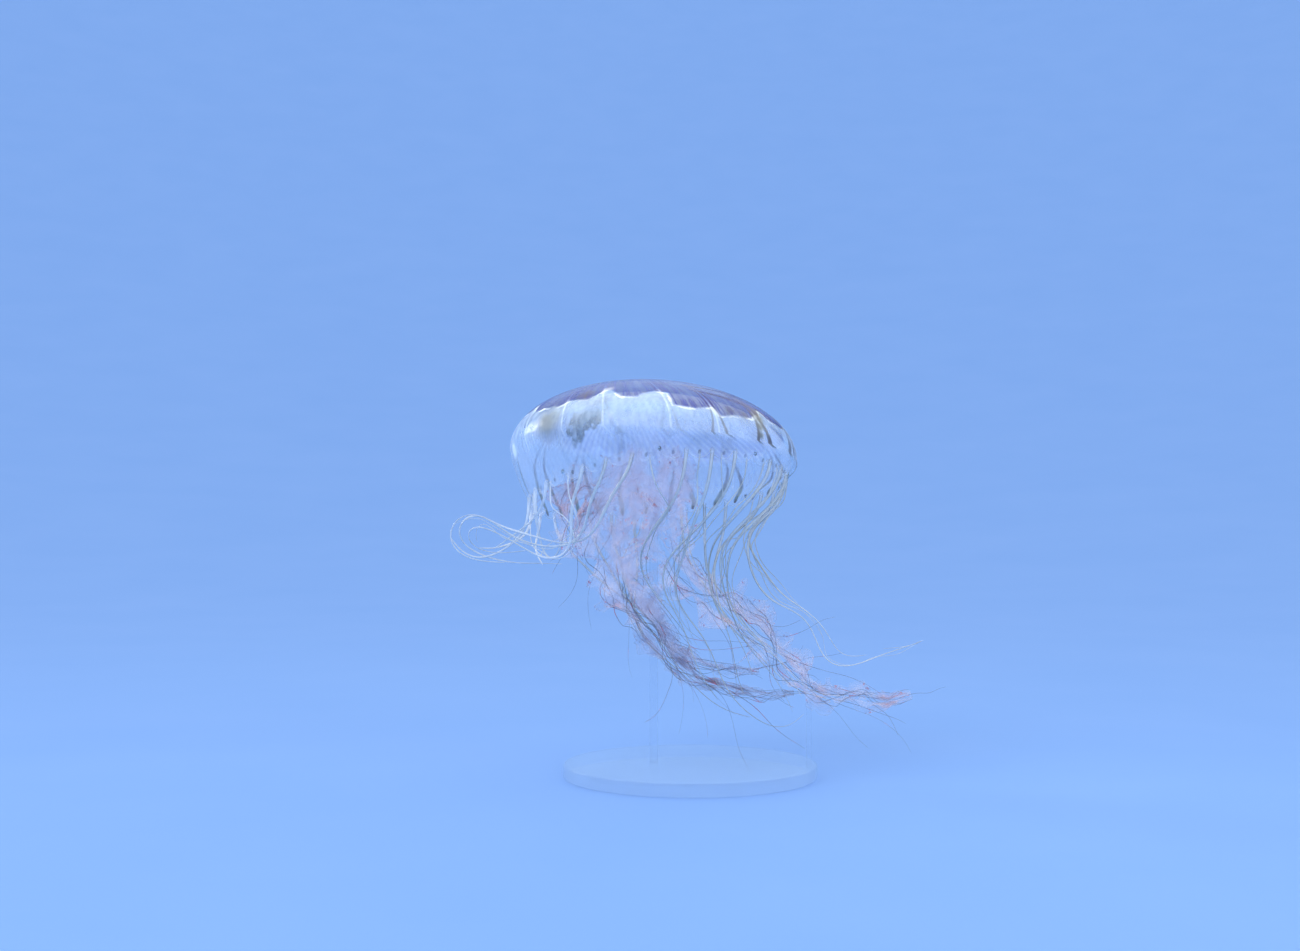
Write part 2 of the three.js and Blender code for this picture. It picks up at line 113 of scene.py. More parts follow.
def add_node(tree, kind, *inputs, **settings):
    """Adds a shader node, sets or links its inputs in order, and gives back one output. An
    input can be the row (kind, *inputs) of a node to add first. A sum or product of more than
    two values becomes a row of nodes."""
    inputs = [add_node(tree, *value) if isinstance(value, tuple) and isinstance(value[0], str)
        else value for value in inputs]
    if kind in ("times", "plus") and len(inputs) > 2:
        return add_node(tree, kind, add_node(tree, kind, *inputs[:2]), *inputs[2:])
    kind, preset = SHORT_NAMES.get(kind, (kind, {}))
    settings = {**preset, **settings}
    output = settings.pop("output", 0)
    node = tree.nodes.new("ShaderNode" + kind)
    for name, value in settings.items():
        setattr(node, name, value)
    sockets = [socket for socket in node.inputs if not socket.is_unavailable]
    for socket, value in zip(sockets, inputs):
        if isinstance(value, NodeSocket):
            tree.links.new(value, socket)
        elif socket.type == "RGBA":
            socket.default_value = (*value[:3], 1)
        else:
            socket.default_value = value
    return node.outputs[output]


def new_material(name, **values):
    """A material with its node tree and a shader set to the given values, and a short way
    to add a node to it."""
    material = bpy.data.materials.new(name)
    material.use_nodes = True
    shader = material.node_tree.nodes["Principled BSDF"]
    for key, value in values.items():
        shader.inputs[key.replace("_", " ")].default_value = value
    return material, functools.partial(add_node, material.node_tree)


def coats(node, *pairs):
    """Pigments that lie over each other, as (colour, cover) pairs: the colour and the cover
    that they have together."""
    colour, cover = pairs[0]
    for pigment, share in pairs[1:]:
        cover = node("plus", cover, share)
        colour = node("mix", ("over", share, cover), colour, pigment)
    return colour, cover


def finish(material, **links):
    """Links worked-out values to a material's shader."""
    for key, value in links.items():
        socket = material.node_tree.nodes["Principled BSDF"].inputs[key.replace("_", " ")]
        material.node_tree.links.new(value, socket)
    return material


# ---- Shaping helpers ----------------------------------------------------------------------
def corners(obj):
    """An object's corner places as rows."""
    flat = np.empty(len(obj.data.vertices) * 3)
    obj.data.vertices.foreach_get("co", flat)
    return flat.reshape(-1, 3)


def move_corners(obj, places):
    """Puts an object's corners at the given places."""
    obj.data.vertices.foreach_set("co", np.asarray(places, float).ravel())
    obj.data.update()


def into_model(points):
    """Points of the bell's own frame in millimetres, in the model's frame in metres."""
    turn = np.array(TO_MODEL)
    return np.asarray(points, float) @ turn[:3, :3].T + turn[:3, 3]


def value_on(obj, name, values):
    """Stores one number per corner for the material to read."""
    layer = obj.data.attributes.new(name, "FLOAT", "POINT")
    layer.data.foreach_set("value", np.asarray(values, np.float32))


def select_only(obj):
    bpy.ops.object.select_all(action="DESELECT")
    obj.select_set(True)
    bpy.context.view_layer.objects.active = obj


def edit(obj, *steps):
    """Runs edit-mode steps on one object, with all of it selected."""
    select_only(obj)
    bpy.ops.object.mode_set(mode="EDIT")
    for step in steps:
        bpy.ops.mesh.select_all(action="SELECT")
        step()
    bpy.ops.object.mode_set(mode="OBJECT")


def merge_corners():
    bpy.ops.mesh.remove_doubles(threshold=1e-6)


def face_out():
    bpy.ops.mesh.normals_make_consistent(inside=False)


def apply_modifier(obj, kind, **settings):
    """Adds a modifier with its settings and applies it."""
    modifier = obj.modifiers.new(kind.title(), kind)
    for name, value in settings.items():
        setattr(modifier, name, value)
    select_only(obj)
    bpy.ops.object.modifier_apply(modifier=modifier.name)


def primitive(name, kind, **settings):
    """A named mesh from one of Blender's primitives, with its place put into its corners."""
    bpy.ops.object.select_all(action="DESELECT")
    getattr(bpy.ops.mesh, f"primitive_{kind}_add")(**settings)
    bpy.ops.object.transform_apply(location=True, rotation=True, scale=True)
    obj = bpy.context.object
    obj.name = obj.data.name = name
    return obj


def grid(name, across, along):
    """A flat grid to be bent, with its map, and each corner's share across and along."""
    obj = primitive(name, "grid", x_subdivisions=across, y_subdivisions=along, size=1)
    places = corners(obj)
    return obj, places[:, 0] + 0.5, places[:, 1] + 0.5


def joined(objects, name):
    """One object made of several."""
    bpy.ops.object.select_all(action="DESELECT")
    for obj in objects:
        obj.select_set(True)
    bpy.context.view_layer.objects.active = objects[0]
    if len(objects) > 1:
        bpy.ops.object.join()
    obj = bpy.context.object
    obj.name = obj.data.name = name
    return obj


def hand_over(obj, slot, *materials, nodes=()):
    """Smooths a finished piece, gives it its materials and ties it to the frame."""
    select_only(obj)
    bpy.ops.object.shade_smooth()
    obj.data.materials.clear()
    for material in materials:
        obj.data.materials.append(material)
    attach(obj, "root")
    if nodes:
        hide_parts(*nodes)
    return obj


def lerp(a, b, share):
    return a + (b - a) * share


def smoothstep(value, low, high):
    share = np.clip((value - low) / (high - low), 0, 1)
    return share * share * (3 - 2 * share)


def spline(rows, places):
    """Rows of numbers read at fractional places on a Catmull-Rom curve through them."""
    rows = np.asarray(rows, float)
    padded = np.concatenate([[2 * rows[0] - rows[1]], rows, [2 * rows[-1] - rows[-2]]])
    i = np.clip(np.asarray(places).astype(int), 0, len(rows) - 2)
    t = (np.asarray(places) - i)[:, None]
    a, b, c, d = (padded[i + k] for k in range(4))
    cubic = 3 * b - a - 3 * c + d
    return 0.5 * (2 * b + (c - a) * t + (2 * a - 5 * b + 4 * c - d) * t**2 + cubic * t**3)


def unit(rows):
    return rows / np.linalg.norm(rows, axis=1)[:, None]


def way_along(points):
    """The distance along a line to each of its points."""
    return np.concatenate([[0], np.cumsum(np.linalg.norm(np.diff(points, axis=0), axis=1))])


def even_rows(rows, step):
    """Rows that start with x, y, z, read again at even steps along their curve, and the
    distance from the first to each."""
    fine = spline(rows, np.linspace(0, len(rows) - 1, 12 * len(rows)))
    way = way_along(fine[:, :3])
    count = max(int(round(way[-1] / step)), 2)
    at = np.linspace(0, way[-1], count + 1)
    return np.stack([np.interp(at, way, column) for column in fine.T], axis=1), at


def eased(rows, rounds):
    """Rows with their small kinks smoothed away, the ends held."""
    rows = rows.copy()
    for _ in range(rounds):
        rows[1:-1] = 0.5 * rows[1:-1] + 0.25 * (rows[:-2] + rows[2:])
    return rows


def turned_frames(points, side=EAST):
    """A run, side and up direction at each point, turned as little as possible."""
    runs = unit(np.gradient(points, axis=0))
    sides = []
    for run in runs:
        side = side - run * (side @ run)
        side = side / np.linalg.norm(side)
        sides.append(side)
    sides = np.array(sides)
    return runs, sides, np.cross(sides, runs)


def wander(at, waves, seed):
    """A smooth random number along a length: waves is a list of (wave length, height)."""
    dice = np.random.RandomState(seed)
    total = np.zeros_like(np.asarray(at, float))
    for length, height in waves:
        phase = dice.uniform(0, FULL_TURN, 3)
        drift = 0.9 * np.sin(FULL_TURN * at / (length * 3.7) + phase[1])
        total += height * np.sin(FULL_TURN * at / length + phase[0] + drift)
        total += 0.4 * height * np.sin(FULL_TURN * at / (length * 0.61) + phase[2])
    return total


def tube(name, line, size, sides, flat=1.0, twist=None):
    """A tapered tube along a line, flattened and twisted, closed where its size is 0."""
    obj, across, along = grid(name, sides, len(line) - 1)
    i = np.rint(along * (len(line) - 1)).astype(int)
    _, east, north = turned_frames(line)
    twist = np.zeros(len(line)) if twist is None else twist
    cos, sin = np.cos(twist)[:, None], np.sin(twist)[:, None]
    wide = (east * cos + north * sin) * size[:, None]
    deep = (north * cos - east * sin) * size[:, None] * flat
    angle = FULL_TURN * across[:, None]
    move_corners(obj, line[i] + wide[i] * np.cos(angle) + deep[i] * np.sin(angle))
    return obj


def curtain(name, line, out, strips, seed, waves, side_waves, lobes, start=0.0):
    """A ruffled sheet that hangs on a line and reaches out from it. waves lists
    (wave length, height, how close to the rim it keeps) in millimetres and shares of the
    reach; side_waves does it along the line; lobes make the reach itself wax and wane."""
    obj, across, along = grid(name, strips, len(line) - 1)
    i = np.rint(along * (len(line) - 1)).astype(int)
    run = unit(np.gradient(line, axis=0))
    way = way_along(line) / MM
    bent = np.cross(run, out)
    bent /= np.linalg.norm(bent, axis=1)[:, None] + 1e-12
    size = np.linalg.norm(out, axis=1)
    wave, slide = np.zeros((2, len(i)))
    for k, (length, height, rim) in enumerate(waves):
        lean = way[i] + 0.25 * length * across
        wave += wander(lean, [(length, height)], seed + k) * across**rim
    for k, (length, height, rim) in enumerate(side_waves):
        slide += wander(way[i], [(length, height)], seed + 20 + k) * across**rim
    reach = lerp(start, 1, across) * (1 + wander(way[i], lobes, seed + 40) * across)
    places = line[i] + out[i] * reach[:, None]
    places += bent[i] * (size[i] * wave)[:, None] + run[i] * (size[i] * slide)[:, None]
    move_corners(obj, places)
    return obj


def node_rings(node, count, start):
    """The rings of corners of a strand's CAD node, from the end nearer to start."""
    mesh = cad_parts[node].data
    flat = corners(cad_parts[node]).round(6)
    points, place = np.unique(flat, axis=0, return_inverse=True)
    corner = np.empty(len(mesh.loops), int)
    mesh.loops.foreach_get("vertex_index", corner)
    near = [set() for _ in points]
    for face in place.reshape(-1)[corner].reshape(-1, 3):
        for i in face:
            near[i].update(j for j in face if j != i)
    caps = [i for i, others in enumerate(near) if len(others) == count]
    first, last = sorted(caps, key=lambda i: np.linalg.norm(points[i] - start))
    ring, rings, seen = near[first], [], {first, last}
    while ring:
        rings.append(points[sorted(ring)])
        seen |= ring
        ring = set().union(*(near[i] for i in ring)) - seen
    return rings


def strand_rings(nodes, count):
    """The rings of a whole strand, root first, with the cuts between its lengths closed."""
    start = np.array(BELL_CENTRE) * MM + BELL_UP * 0.1
    rings = []
    for node in nodes:
        more = node_rings(node, count, start)
        rings += more[1:] if rings else more
        start = rings[-1].mean(axis=0)
    return rings


# ---- The bell -----------------------------------------------------------------------------
def outer_line(u):
    """Radius and height of the bell's outer face: u is 0 at the crown, 1 at the widest
    level, 2 at the margin and 3 at a lappet's tip."""
    if u <= 1:
        angle = u * math.pi / 2
        return np.array((BELL_RADIUS * math.sin(angle), DOME_HEIGHT * math.cos(angle)))
    if u <= 2:
        radius = lerp(BELL_RADIUS, MARGIN_RADIUS, (u - 1) ** SKIRT_DRAW)
        return np.array((radius, -SKIRT_DEPTH * (u - 1)))
    drop = u - 2
    return np.array((MARGIN_RADIUS - LAPPET_CURL * drop, -SKIRT_DEPTH - LAPPET_LENGTH * drop))


def inner_line(u):
    """The same for the inner face."""
    step = 0.01
    run = outer_line(min(u + step, 3)) - outer_line(max(u - step, 0))
    run /= np.linalg.norm(run)
    wall = np.interp(u, range(4), WALLS)
    point = outer_line(u) + wall * np.array((run[1], -run[0]))
    return np.array((max(point[0], 0), point[1]))


def skirt_depth(azimuth):
    lean = SKIRT_DEPTH - SKIRT_LEAN * np.cos(azimuth)
    return lean + SKIRT_TILT * np.sin(azimuth) + SKIRT_FOLD * np.cos(2 * azimuth)


def lappet_share(azimuth):
    turn = (azimuth / FULL_TURN + 1) * LAPPETS
    across = turn - np.floor(turn + 1e-6)
    hump = np.sin(math.pi * np.clip(across, 0, 1)) ** LAPPET_ROUND
    return lerp(LAPPET_ROOT, 1, hump)


def shape_skirt(points):
    """Lets the skirt of a turned bell down to its true depth and cuts the lappets."""
    points = points.copy()
    low = points[:, 2] < 0
    z = points[low, 2]
    azimuth = np.arctan2(points[low, 1], points[low, 0])
    share = np.minimum(1, -z / SKIRT_DEPTH)
    beyond = np.maximum(0, -z - SKIRT_DEPTH)
    points[low, 0] += SKIRT_DRIFT * share
    points[low, 2] = -skirt_depth(azimuth) * share - beyond * lappet_share(azimuth)
    return points


def margin_point(azimuth, drop=0.0):
    """A point of the margin at an azimuth, in the model's frame, so far under its edge."""
    radius = MARGIN_RADIUS - WALLS[2] / 2
    x = radius * math.cos(azimuth) + SKIRT_DRIFT
    y = radius * math.sin(azimuth)
    return into_model([(x, y, -skirt_depth(azimuth) - drop)])[0]


def spun(name, profile, turns, stations=None):
    """A closed shape turned from a profile of (radius, height) pairs about the z axis."""
    mesh = bpy.data.meshes.new(name)
    links = [(i, i + 1) for i in range(len(profile) - 1)]
    mesh.from_pydata([(r, 0, z) for r, z in profile], links, [])
    obj = bpy.data.objects.new(name, mesh)
    bpy.context.collection.objects.link(obj)
    if stations is not None:
        value_on(obj, "station", stations)

    def turn():
        bpy.ops.mesh.spin(steps=turns, angle=FULL_TURN, center=(0, 0, 0), axis=(0, 0, 1))

    edit(obj, turn, merge_corners, face_out)
    return obj


# How far each radial line leans from its cleft at the scalloped line, in degrees.
LINE_LEAN = (-16, -8, -3, 0, 0, 0, 0, 0, -4, -4, -3.8, -8.8, -5.2, -9.2, -10.2, -8)
# The scalloped line where it is least even: azimuth in degrees and station.
LINE_LEVEL = ((224, 0.80), (228.5, 0.79), (232.5, 0.74), (241.5, 0.75), (244.5, 0.70), (247, 0.63),
    (250, 0.64), (255.5, 0.73), (262.5, 0.73), (264.5, 0.69), (269.5, 0.65), (275, 0.66), (277, 0.80),
    (286, 0.82), (293, 0.78), (296.5, 0.86), (303, 0.83), (312, 0.82), (316.5, 0.76), (320, 0.80))
# Its usual station and how far it rises at each knot, the millimetres of one station, the
# radius it runs at, and how far to the left of the crown the pattern's pole sits.
LEVEL_MEAN = 0.78
LEVEL_PEAK = 0.07
STATION_RUN = 81
LINE_RADIUS = 82
POLE_SHIFT = -18


def line_level(azimuth):
    """The station of the scalloped line at each azimuth."""
    degrees = np.degrees(azimuth) % 360
    nearest = (degrees + 6) % 22.5 - 11.25
    level = LEVEL_MEAN - LEVEL_PEAK * np.exp(-((nearest / 2.5) ** 2))
    level += wander(degrees * 2, [(60, 0.012), (23, 0.006)], 5)
    known, stations = np.transpose(LINE_LEVEL)
    inside = smoothstep(degrees, known[0], known[0] + 3)
    inside *= smoothstep(-degrees, -known[-1], 3 - known[-1])
    return lerp(level, np.interp(degrees, known, stations), inside)


def line_gap(azimuth, station):
    """Millimetres from each point of the bell to the scalloped line, less than 0 above it."""
    ways = np.radians(np.arange(-10, 370, 0.1))
    levels = line_level(ways)
    tree = kdtree.KDTree(len(ways))
    for i, (way, level) in enumerate(zip(ways, levels)):
        tree.insert((way * LINE_RADIUS, level * STATION_RUN, 0), i)
    tree.balance()
    signed = (station - line_level(azimuth)) * STATION_RUN
    near = np.nonzero(np.abs(signed) < 0.3 * STATION_RUN)[0]
    for i in near:
        place = (azimuth[i] % FULL_TURN * LINE_RADIUS, station[i] * STATION_RUN, 0)
        signed[i] = math.copysign(tree.find(place)[2], signed[i])
    return signed


def leaning(azimuth, station, points):
    """The azimuth of the pattern at each point of the bell: its pole sits to one side of the
    crown and its radial lines lean."""
    reach = np.hypot(points[:, 0], points[:, 1])
    on_top = np.where(station < 1, 1 - np.clip(reach / BELL_RADIUS, 0, 1) ** 2, 0)
    moved = np.arctan2(points[:, 1], points[:, 0] - POLE_SHIFT * on_top)
    lines = np.arange(POUCHES) * 360 / POUCHES + 11.25
    knots, leans = lines + LINE_LEAN, np.array(LINE_LEAN, float)
    knots = np.concatenate([knots - 360, knots, knots + 360])
    lean = np.interp(np.degrees(moved) % 360, knots, np.tile(leans, 3))
    return moved - np.radians(lean) * smoothstep(-station, -2.3, -0.7)


def pouch_map(obj, pattern, station, reach):
    """Maps a bell's faces: first axis is the share of a pouch from the nearest radial
    line, second the station. Each face keeps to one pouch, and a pole's corner to its face."""
    mesh = obj.data
    total = np.empty(len(mesh.polygons), int)
    mesh.polygons.foreach_get("loop_total", total)
    corner = np.empty(len(mesh.loops), int)
    mesh.loops.foreach_get("vertex_index", corner)
    owner = np.repeat(np.arange(len(total)), total)
    off_pole = np.where(reach > 1e-4, 1.0, 0.0)
    east = np.bincount(owner, (np.cos(pattern) * off_pole)[corner])
    north = np.bincount(owner, (np.sin(pattern) * off_pole)[corner])
    middle = np.arctan2(north, east)
    line = np.round((middle - POUCH / 2) / POUCH) * POUCH + POUCH / 2
    own = np.where(off_pole[corner] > 0, pattern[corner], middle[owner])
    offset = (own - line[owner] + math.pi) % FULL_TURN - math.pi
    pairs = np.stack([offset / POUCH, station[corner]], axis=1)
    layer = mesh.uv_layers.new(name="pouch_map")
    layer.data.foreach_set("uv", pairs.astype(np.float32).ravel())
    return corner, owner


def bell_material(look):
    """Jelly: nine tenths water, so it shows as a faint milk that thickens edge-on, with
    pigment in its skin: a plum crown, a scalloped white line, forked rays, lappet spots.
    Painted light is laid on it too: white glints and a rim on the lappets as painted
    highlights, and milk carried down the skirt as painted brightening of its shade."""
    material, node = new_material("jelly_pigmented_skin", Roughness=0.3, IOR=1.34, Coat_Weight=0.25,
        Coat_Roughness=0.12)
    place = node("TexCoord", output=3)
    broad, middling, fine = (node("TexNoise", place, 1 / (size * MM), detail)
        for size, detail in ((26, 3.0), (9, 3.0), (2.6, 4.0)))
    stretch = node("Mapping", place, (0, 0, 0), (0, 0, 0), (1, 1, 0.2))
    streaks = node("TexNoise", stretch, 1 / (3.5 * MM), 3)
    pair = node("SeparateXYZ", node("UVMap", uv_map="pouch_map")).node
    gap, ray_share, ray_width, blush, glint = (node("Attribute", attribute_name=name, output=2)
        for name in ("line_gap", "ray_share", "ray_width", "blush", "glint"))
    station = pair.outputs[1]
    wobble = node("ramp", middling, 0, 1, -0.02, 0.02)
    across = node("size", ("plus", pair.outputs[0], wobble))

    # Scalloped line: from a hair to a millimetre and a half wide, brightest at its knots.
    knot = node("soft", across, 0.02, 0.12, 1, 0)
    width = node("ramp", middling, 0.35, 0.65, 0.3, 1.2)
    width = node("plus", width, ("times", knot, 0.35))
    ragged = node("plus", gap, ("ramp", fine, 0, 1, -1.2, 1.2))
    line = node("over", ("size", ragged), width)
    line = node("soft", line, 0.35, 1.25, 1, 0)
    patchy = node("soft", middling, 0.4, 0.62, 0.12, 0.65)
    bright = node("most", ("times", knot, 0.9), patchy)
    line = node("times", line, bright)
    flare = node("times", ("soft", ("size", gap), 0, 5, 0.2, 0), ("soft", across, 0, 0.1, 1, 0))
    line = node("times", ("plus", line, flare), ("ramp", ray_width, 0.036, 0.06, 1, 0.3))
    # Milk under the line: partly the jelly's own whiteness, partly painted light, carried down the
    # skirt to brighten the wall where it lies in shade.
    milk_and_glow = node("times", ("ramp", gap, -0.3, 0.8), ("soft", streaks, 0.3, 0.7, 0.65, 1),
        ("soft", station, 0.8, 1, 1, 0.6), ("ramp", station, 1, 2.6, 1, 0.1),
        ("soft", broad, 0.35, 0.6, 0.5, 1))

    # Crown: indigo pigment in sixteen wedges, no two alike, with a thin gap between, and
    # combed by fine grooves that run out from its pole.
    combed = node("CombineXYZ", ("times", across, 16), ("times", station, 1.6), broad)
    grooves = node("TexNoise", combed, 1, 3)
    crown = node("times", ("soft", gap, -2.2, -0.2, 1, 0), ("soft", across, 0.01, 0.05, 0.6, 1),
        ("soft", gap, -24, -3, 0.68, 1), ("soft", broad, 0.35, 0.62, 0.62, 1),
        ("soft", station, 0.26, 0.37, 0.4, 1), ("soft", grooves, 0.35, 0.65, 0.62, 1))

    # Radial lines: fine, white and soft, from the scalloped line to the clefts.
    radial = node("times", ("soft", across, 0.006, 0.03, 1, 0), ("soft", gap, -6, 0, 0.06, 1),
        ("soft", station, 0.8, 1.5, 0.8, 0.1), ("ramp", fine, 0.3, 0.6, 0.5, 1))

    # Forked rays: a brown line runs down each side of a radial line, then the two part
    # in straight legs that end on the lappets beside it.
    leg = node("plus", ("ramp", station, 0.8, 1, 0.055, 0.15), ("ramp", station, 1, 2, 0, 0.1))
    off = node("size", ("less", across, leg))
    off = node("over", off, ray_width)
    ray = node("times", ("soft", off, 0.35, 1.1, 1, 0), ray_share, ("soft", station, 2.3, 2.7, 1, 0),
        ("ramp", fine, 0.25, 0.6, 0.7, 1))

    # Spot near the tip of each lappet.
    side = node("over", ("less", across, 0.25), 0.034)
    down = node("over", ("less", station, 2.5), 0.2)
    spot = node("plus", ("times", side, side), ("times", down, down))
    spot = node("times", ("soft", spot, 0.2, 1.2, 1, 0), ("ramp", ray_share, 0.08, 0.5, 0.25, 1),
        ("ramp", broad, 0.35, 0.6, 0.5, 1))
    # Painted highlight: a faint white rim painted along the lappets' edges, where light catches them.
    rim = node("ramp", station, 2.8, 2.97, 0, 0.2)

    facing = node("LayerWeight", 0.35, output=1)
    jelly = node("mix", ("ramp", broad, 0.35, 0.65), look.jelly, look.jelly_warm)
    haze = node("plus", ("soft", facing, 0.5, 1, 0, 0.24), ("soft", middling, 0.3, 0.7, 0.04, 0.13),
        ("soft", streaks, 0.4, 0.7, 0, 0.08))
    haze = node("times", haze, ("ramp", crown, 0, 0.6, 1, 0), ("ramp", station, 0.9, 1.6, 1, 0.5))
    plum = node("mix", ("ramp", grooves, 0.4, 0.6), look.crown_warm, look.crown)
    brown = node("mix", ("ramp", station, 1, 1.6), look.ray, look.ray_low)
    # The last coat, glint, is a painted highlight: white glints where light catches the jelly.
    colour, cover = coats(node, (jelly, haze), (look.milk, node("times", milk_and_glow, 0.46)),
        (plum, node("times", crown, 0.95)), (brown, node("times", ray, 0.78)),
        (look.spot, node("times", spot, 2)), (look.line, node("times", line, 1.2)),
        (look.line, node("times", radial, 0.4)), (look.line, rim),
        (look.moss, node("times", blush, streaks)), (look.line, glint))
    height = node("plus", streaks, fine)
    return finish(material, Base_Color=colour, Alpha=node("least", cover, DENSEST),
        Normal=node("Bump", 0.5, 0.2 * MM, 1, height))


def lining_material(look):
    """The bell's under side: clear jelly over fine ribs of swimming muscle. The daylight that
    soaks through the crown from above is set as a faint light of its own, a painted glow, and
    the milky cover under the crown partly paints that light as well."""
    material, node = new_material("jelly_muscle_lining", Roughness=0.3, IOR=1.34, Coat_Weight=0.3,
        Emission_Color=(*look.soak_colour, 1), Emission_Strength=look.soak)
    broad = node("TexNoise", node("TexCoord", output=3), 1 / (24 * MM), 3)
    ribs = node("TexWave", node("UVMap", uv_map="pouch_map"), 2.2, 0.8, 2, output=1,
        bands_direction="X")
    station = node("SeparateXYZ", node("UVMap", uv_map="pouch_map"), output=1)
    # The milky cover under the crown is partly painted light: it brightens the crown's under side as
    # light soaking through the crown would.
    cover = node("plus", ("soft", broad, 0.3, 0.7, 0.02, 0.08), ("soft", ribs, 0.5, 1, 0, 0.04),
        ("times", ("soft", station, 0.7, 0.86, 0.62, 0.16), ("ramp", station, 1, 2.4, 1, 0.1)))
    return finish(material, Base_Color=node("mix", ribs, look.lining, look.milk), Alpha=cover,
        Normal=node("Bump", 0.5, 0.3 * MM, 1, ribs))


# Moss-brown patches of the bell's wall: place in millimetres, reach and strength.
WALL_STAINS = (((-83, -57, 211), 9, 1.6), ((-72, -63, 203), 7, 0.35), ((5, -79, 202), 8, 0.3),
    ((36, -48, 216), 2.5, 3.0), ((37, -52, 213), 3.5, 5.0), ((38, -56, 208), 2.5, 3.0),
    ((39, -59, 203), 2.2, 2.0), ((-60, -58, 226), 5, 0.8), ((21, -66, 217), 4, 0.8),
    ((30, -61, 215), 4, 0.8), ((50, -28, 212), 2.5, 1.2), ((54, -25, 208), 2.5, 2.2),
    ((57, -22, 204), 2.5, 2.5), ((59, -21, 200), 2.5, 2.5), ((60, -21, 196), 2.5, 2.0))
# Painted highlights: white glints painted on the jelly where light catches it, told in the same way.
PAINTED_GLINTS = (((-104, -23, 195), 4, 1.2), ((-47, -59, 229), 2.5, 0.5))


# Rows of faces from the crown to the widest level, to the margin and to a lappet's tip.
PROFILE_ROWS = (61, 25, 13)
INSIDE_MARK = 10
# The azimuths where the upper rays are darkest and where they are widest.
DARK_SIDE = math.radians(-18)
WIDE_SIDE = math.radians(-12)
FAINT_UPPER_RAY = 0.2
FAINT_LOWER_RAY = 0.08
RAY_WIDTHS = (0.03, 0.065)


class SEANETTLE_OT_bell(Operator):
    """Turns the bell's shell from its outline, lets down its skirt and cuts the lappets"""

    bl_idname = "sea_nettle.bell"
    bl_label = "Model the bell"

    def execute(self, context):
        look = context.scene.sea_nettle_bell
        ways = [np.linspace(u, u + 1, rows) for u, rows in enumerate(PROFILE_ROWS)]
        ways = np.unique(np.concatenate(ways))
        outer = [outer_line(u) for u in ways]
        inner = [inner_line(u) for u in ways[::-2]]
        for pole in (outer[0], inner[-1]):
            pole[0] = 0
        stations = np.concatenate([ways, INSIDE_MARK + ways[::-2]])
        obj = spun("bell_skin", outer + inner, look.turns, stations)
        points = corners(obj)
        station = np.empty(len(points), np.float32)
        obj.data.attributes["station"].data.foreach_get("value", station)
        inside = station > INSIDE_MARK / 2
        station = np.where(inside, station - INSIDE_MARK, station)
        azimuth = np.arctan2(points[:, 1], points[:, 0])

        pattern = leaning(azimuth, station, points)
        reach = np.hypot(points[:, 0], points[:, 1])
        corner, owner = pouch_map(obj, pattern, station, reach)
        lining = np.bincount(owner, inside[corner]) > 2.5

        move_corners(obj, into_model(shape_skirt(points)))
        limb = smoothstep(np.cos(azimuth - DARK_SIDE), 0.3, 0.85)
        back = smoothstep(np.sin(azimuth), -0.2, 0.5)
        low = smoothstep(station, 1.0 - 0.3 * back, 1.4 - 0.4 * back)
        share = lerp(lerp(FAINT_UPPER_RAY, 1, limb), lerp(FAINT_LOWER_RAY, 1, back), low)
        share *= smoothstep(station - 0.3 * (1 - limb), 0.1, 0.3)
        edge_on = smoothstep(np.cos(azimuth - WIDE_SIDE), 0.78, 0.97)
        value_on(obj, "ray_share", share * (1 + 0.8 * edge_on))
        width = lerp(*RAY_WIDTHS, np.clip((station - 0.8) / 0.7, 0, 1))
        value_on(obj, "ray_width", width * (1 + 1.3 * edge_on))
        value_on(obj, "line_gap", line_gap(azimuth, station))
        value_on(obj, "blush", stains(corners(obj), WALL_STAINS))
        # glint holds painted highlights: white glints where light catches the jelly.
        value_on(obj, "glint", stains(corners(obj), PAINTED_GLINTS))
        hand_over(obj, "bell_jelly", bell_material(look), lining_material(look),
            nodes=["bell_dome", "bell_margin"])
        obj.data.polygons.foreach_set("material_index", lining.astype(np.int32))
        return {"FINISHED"}


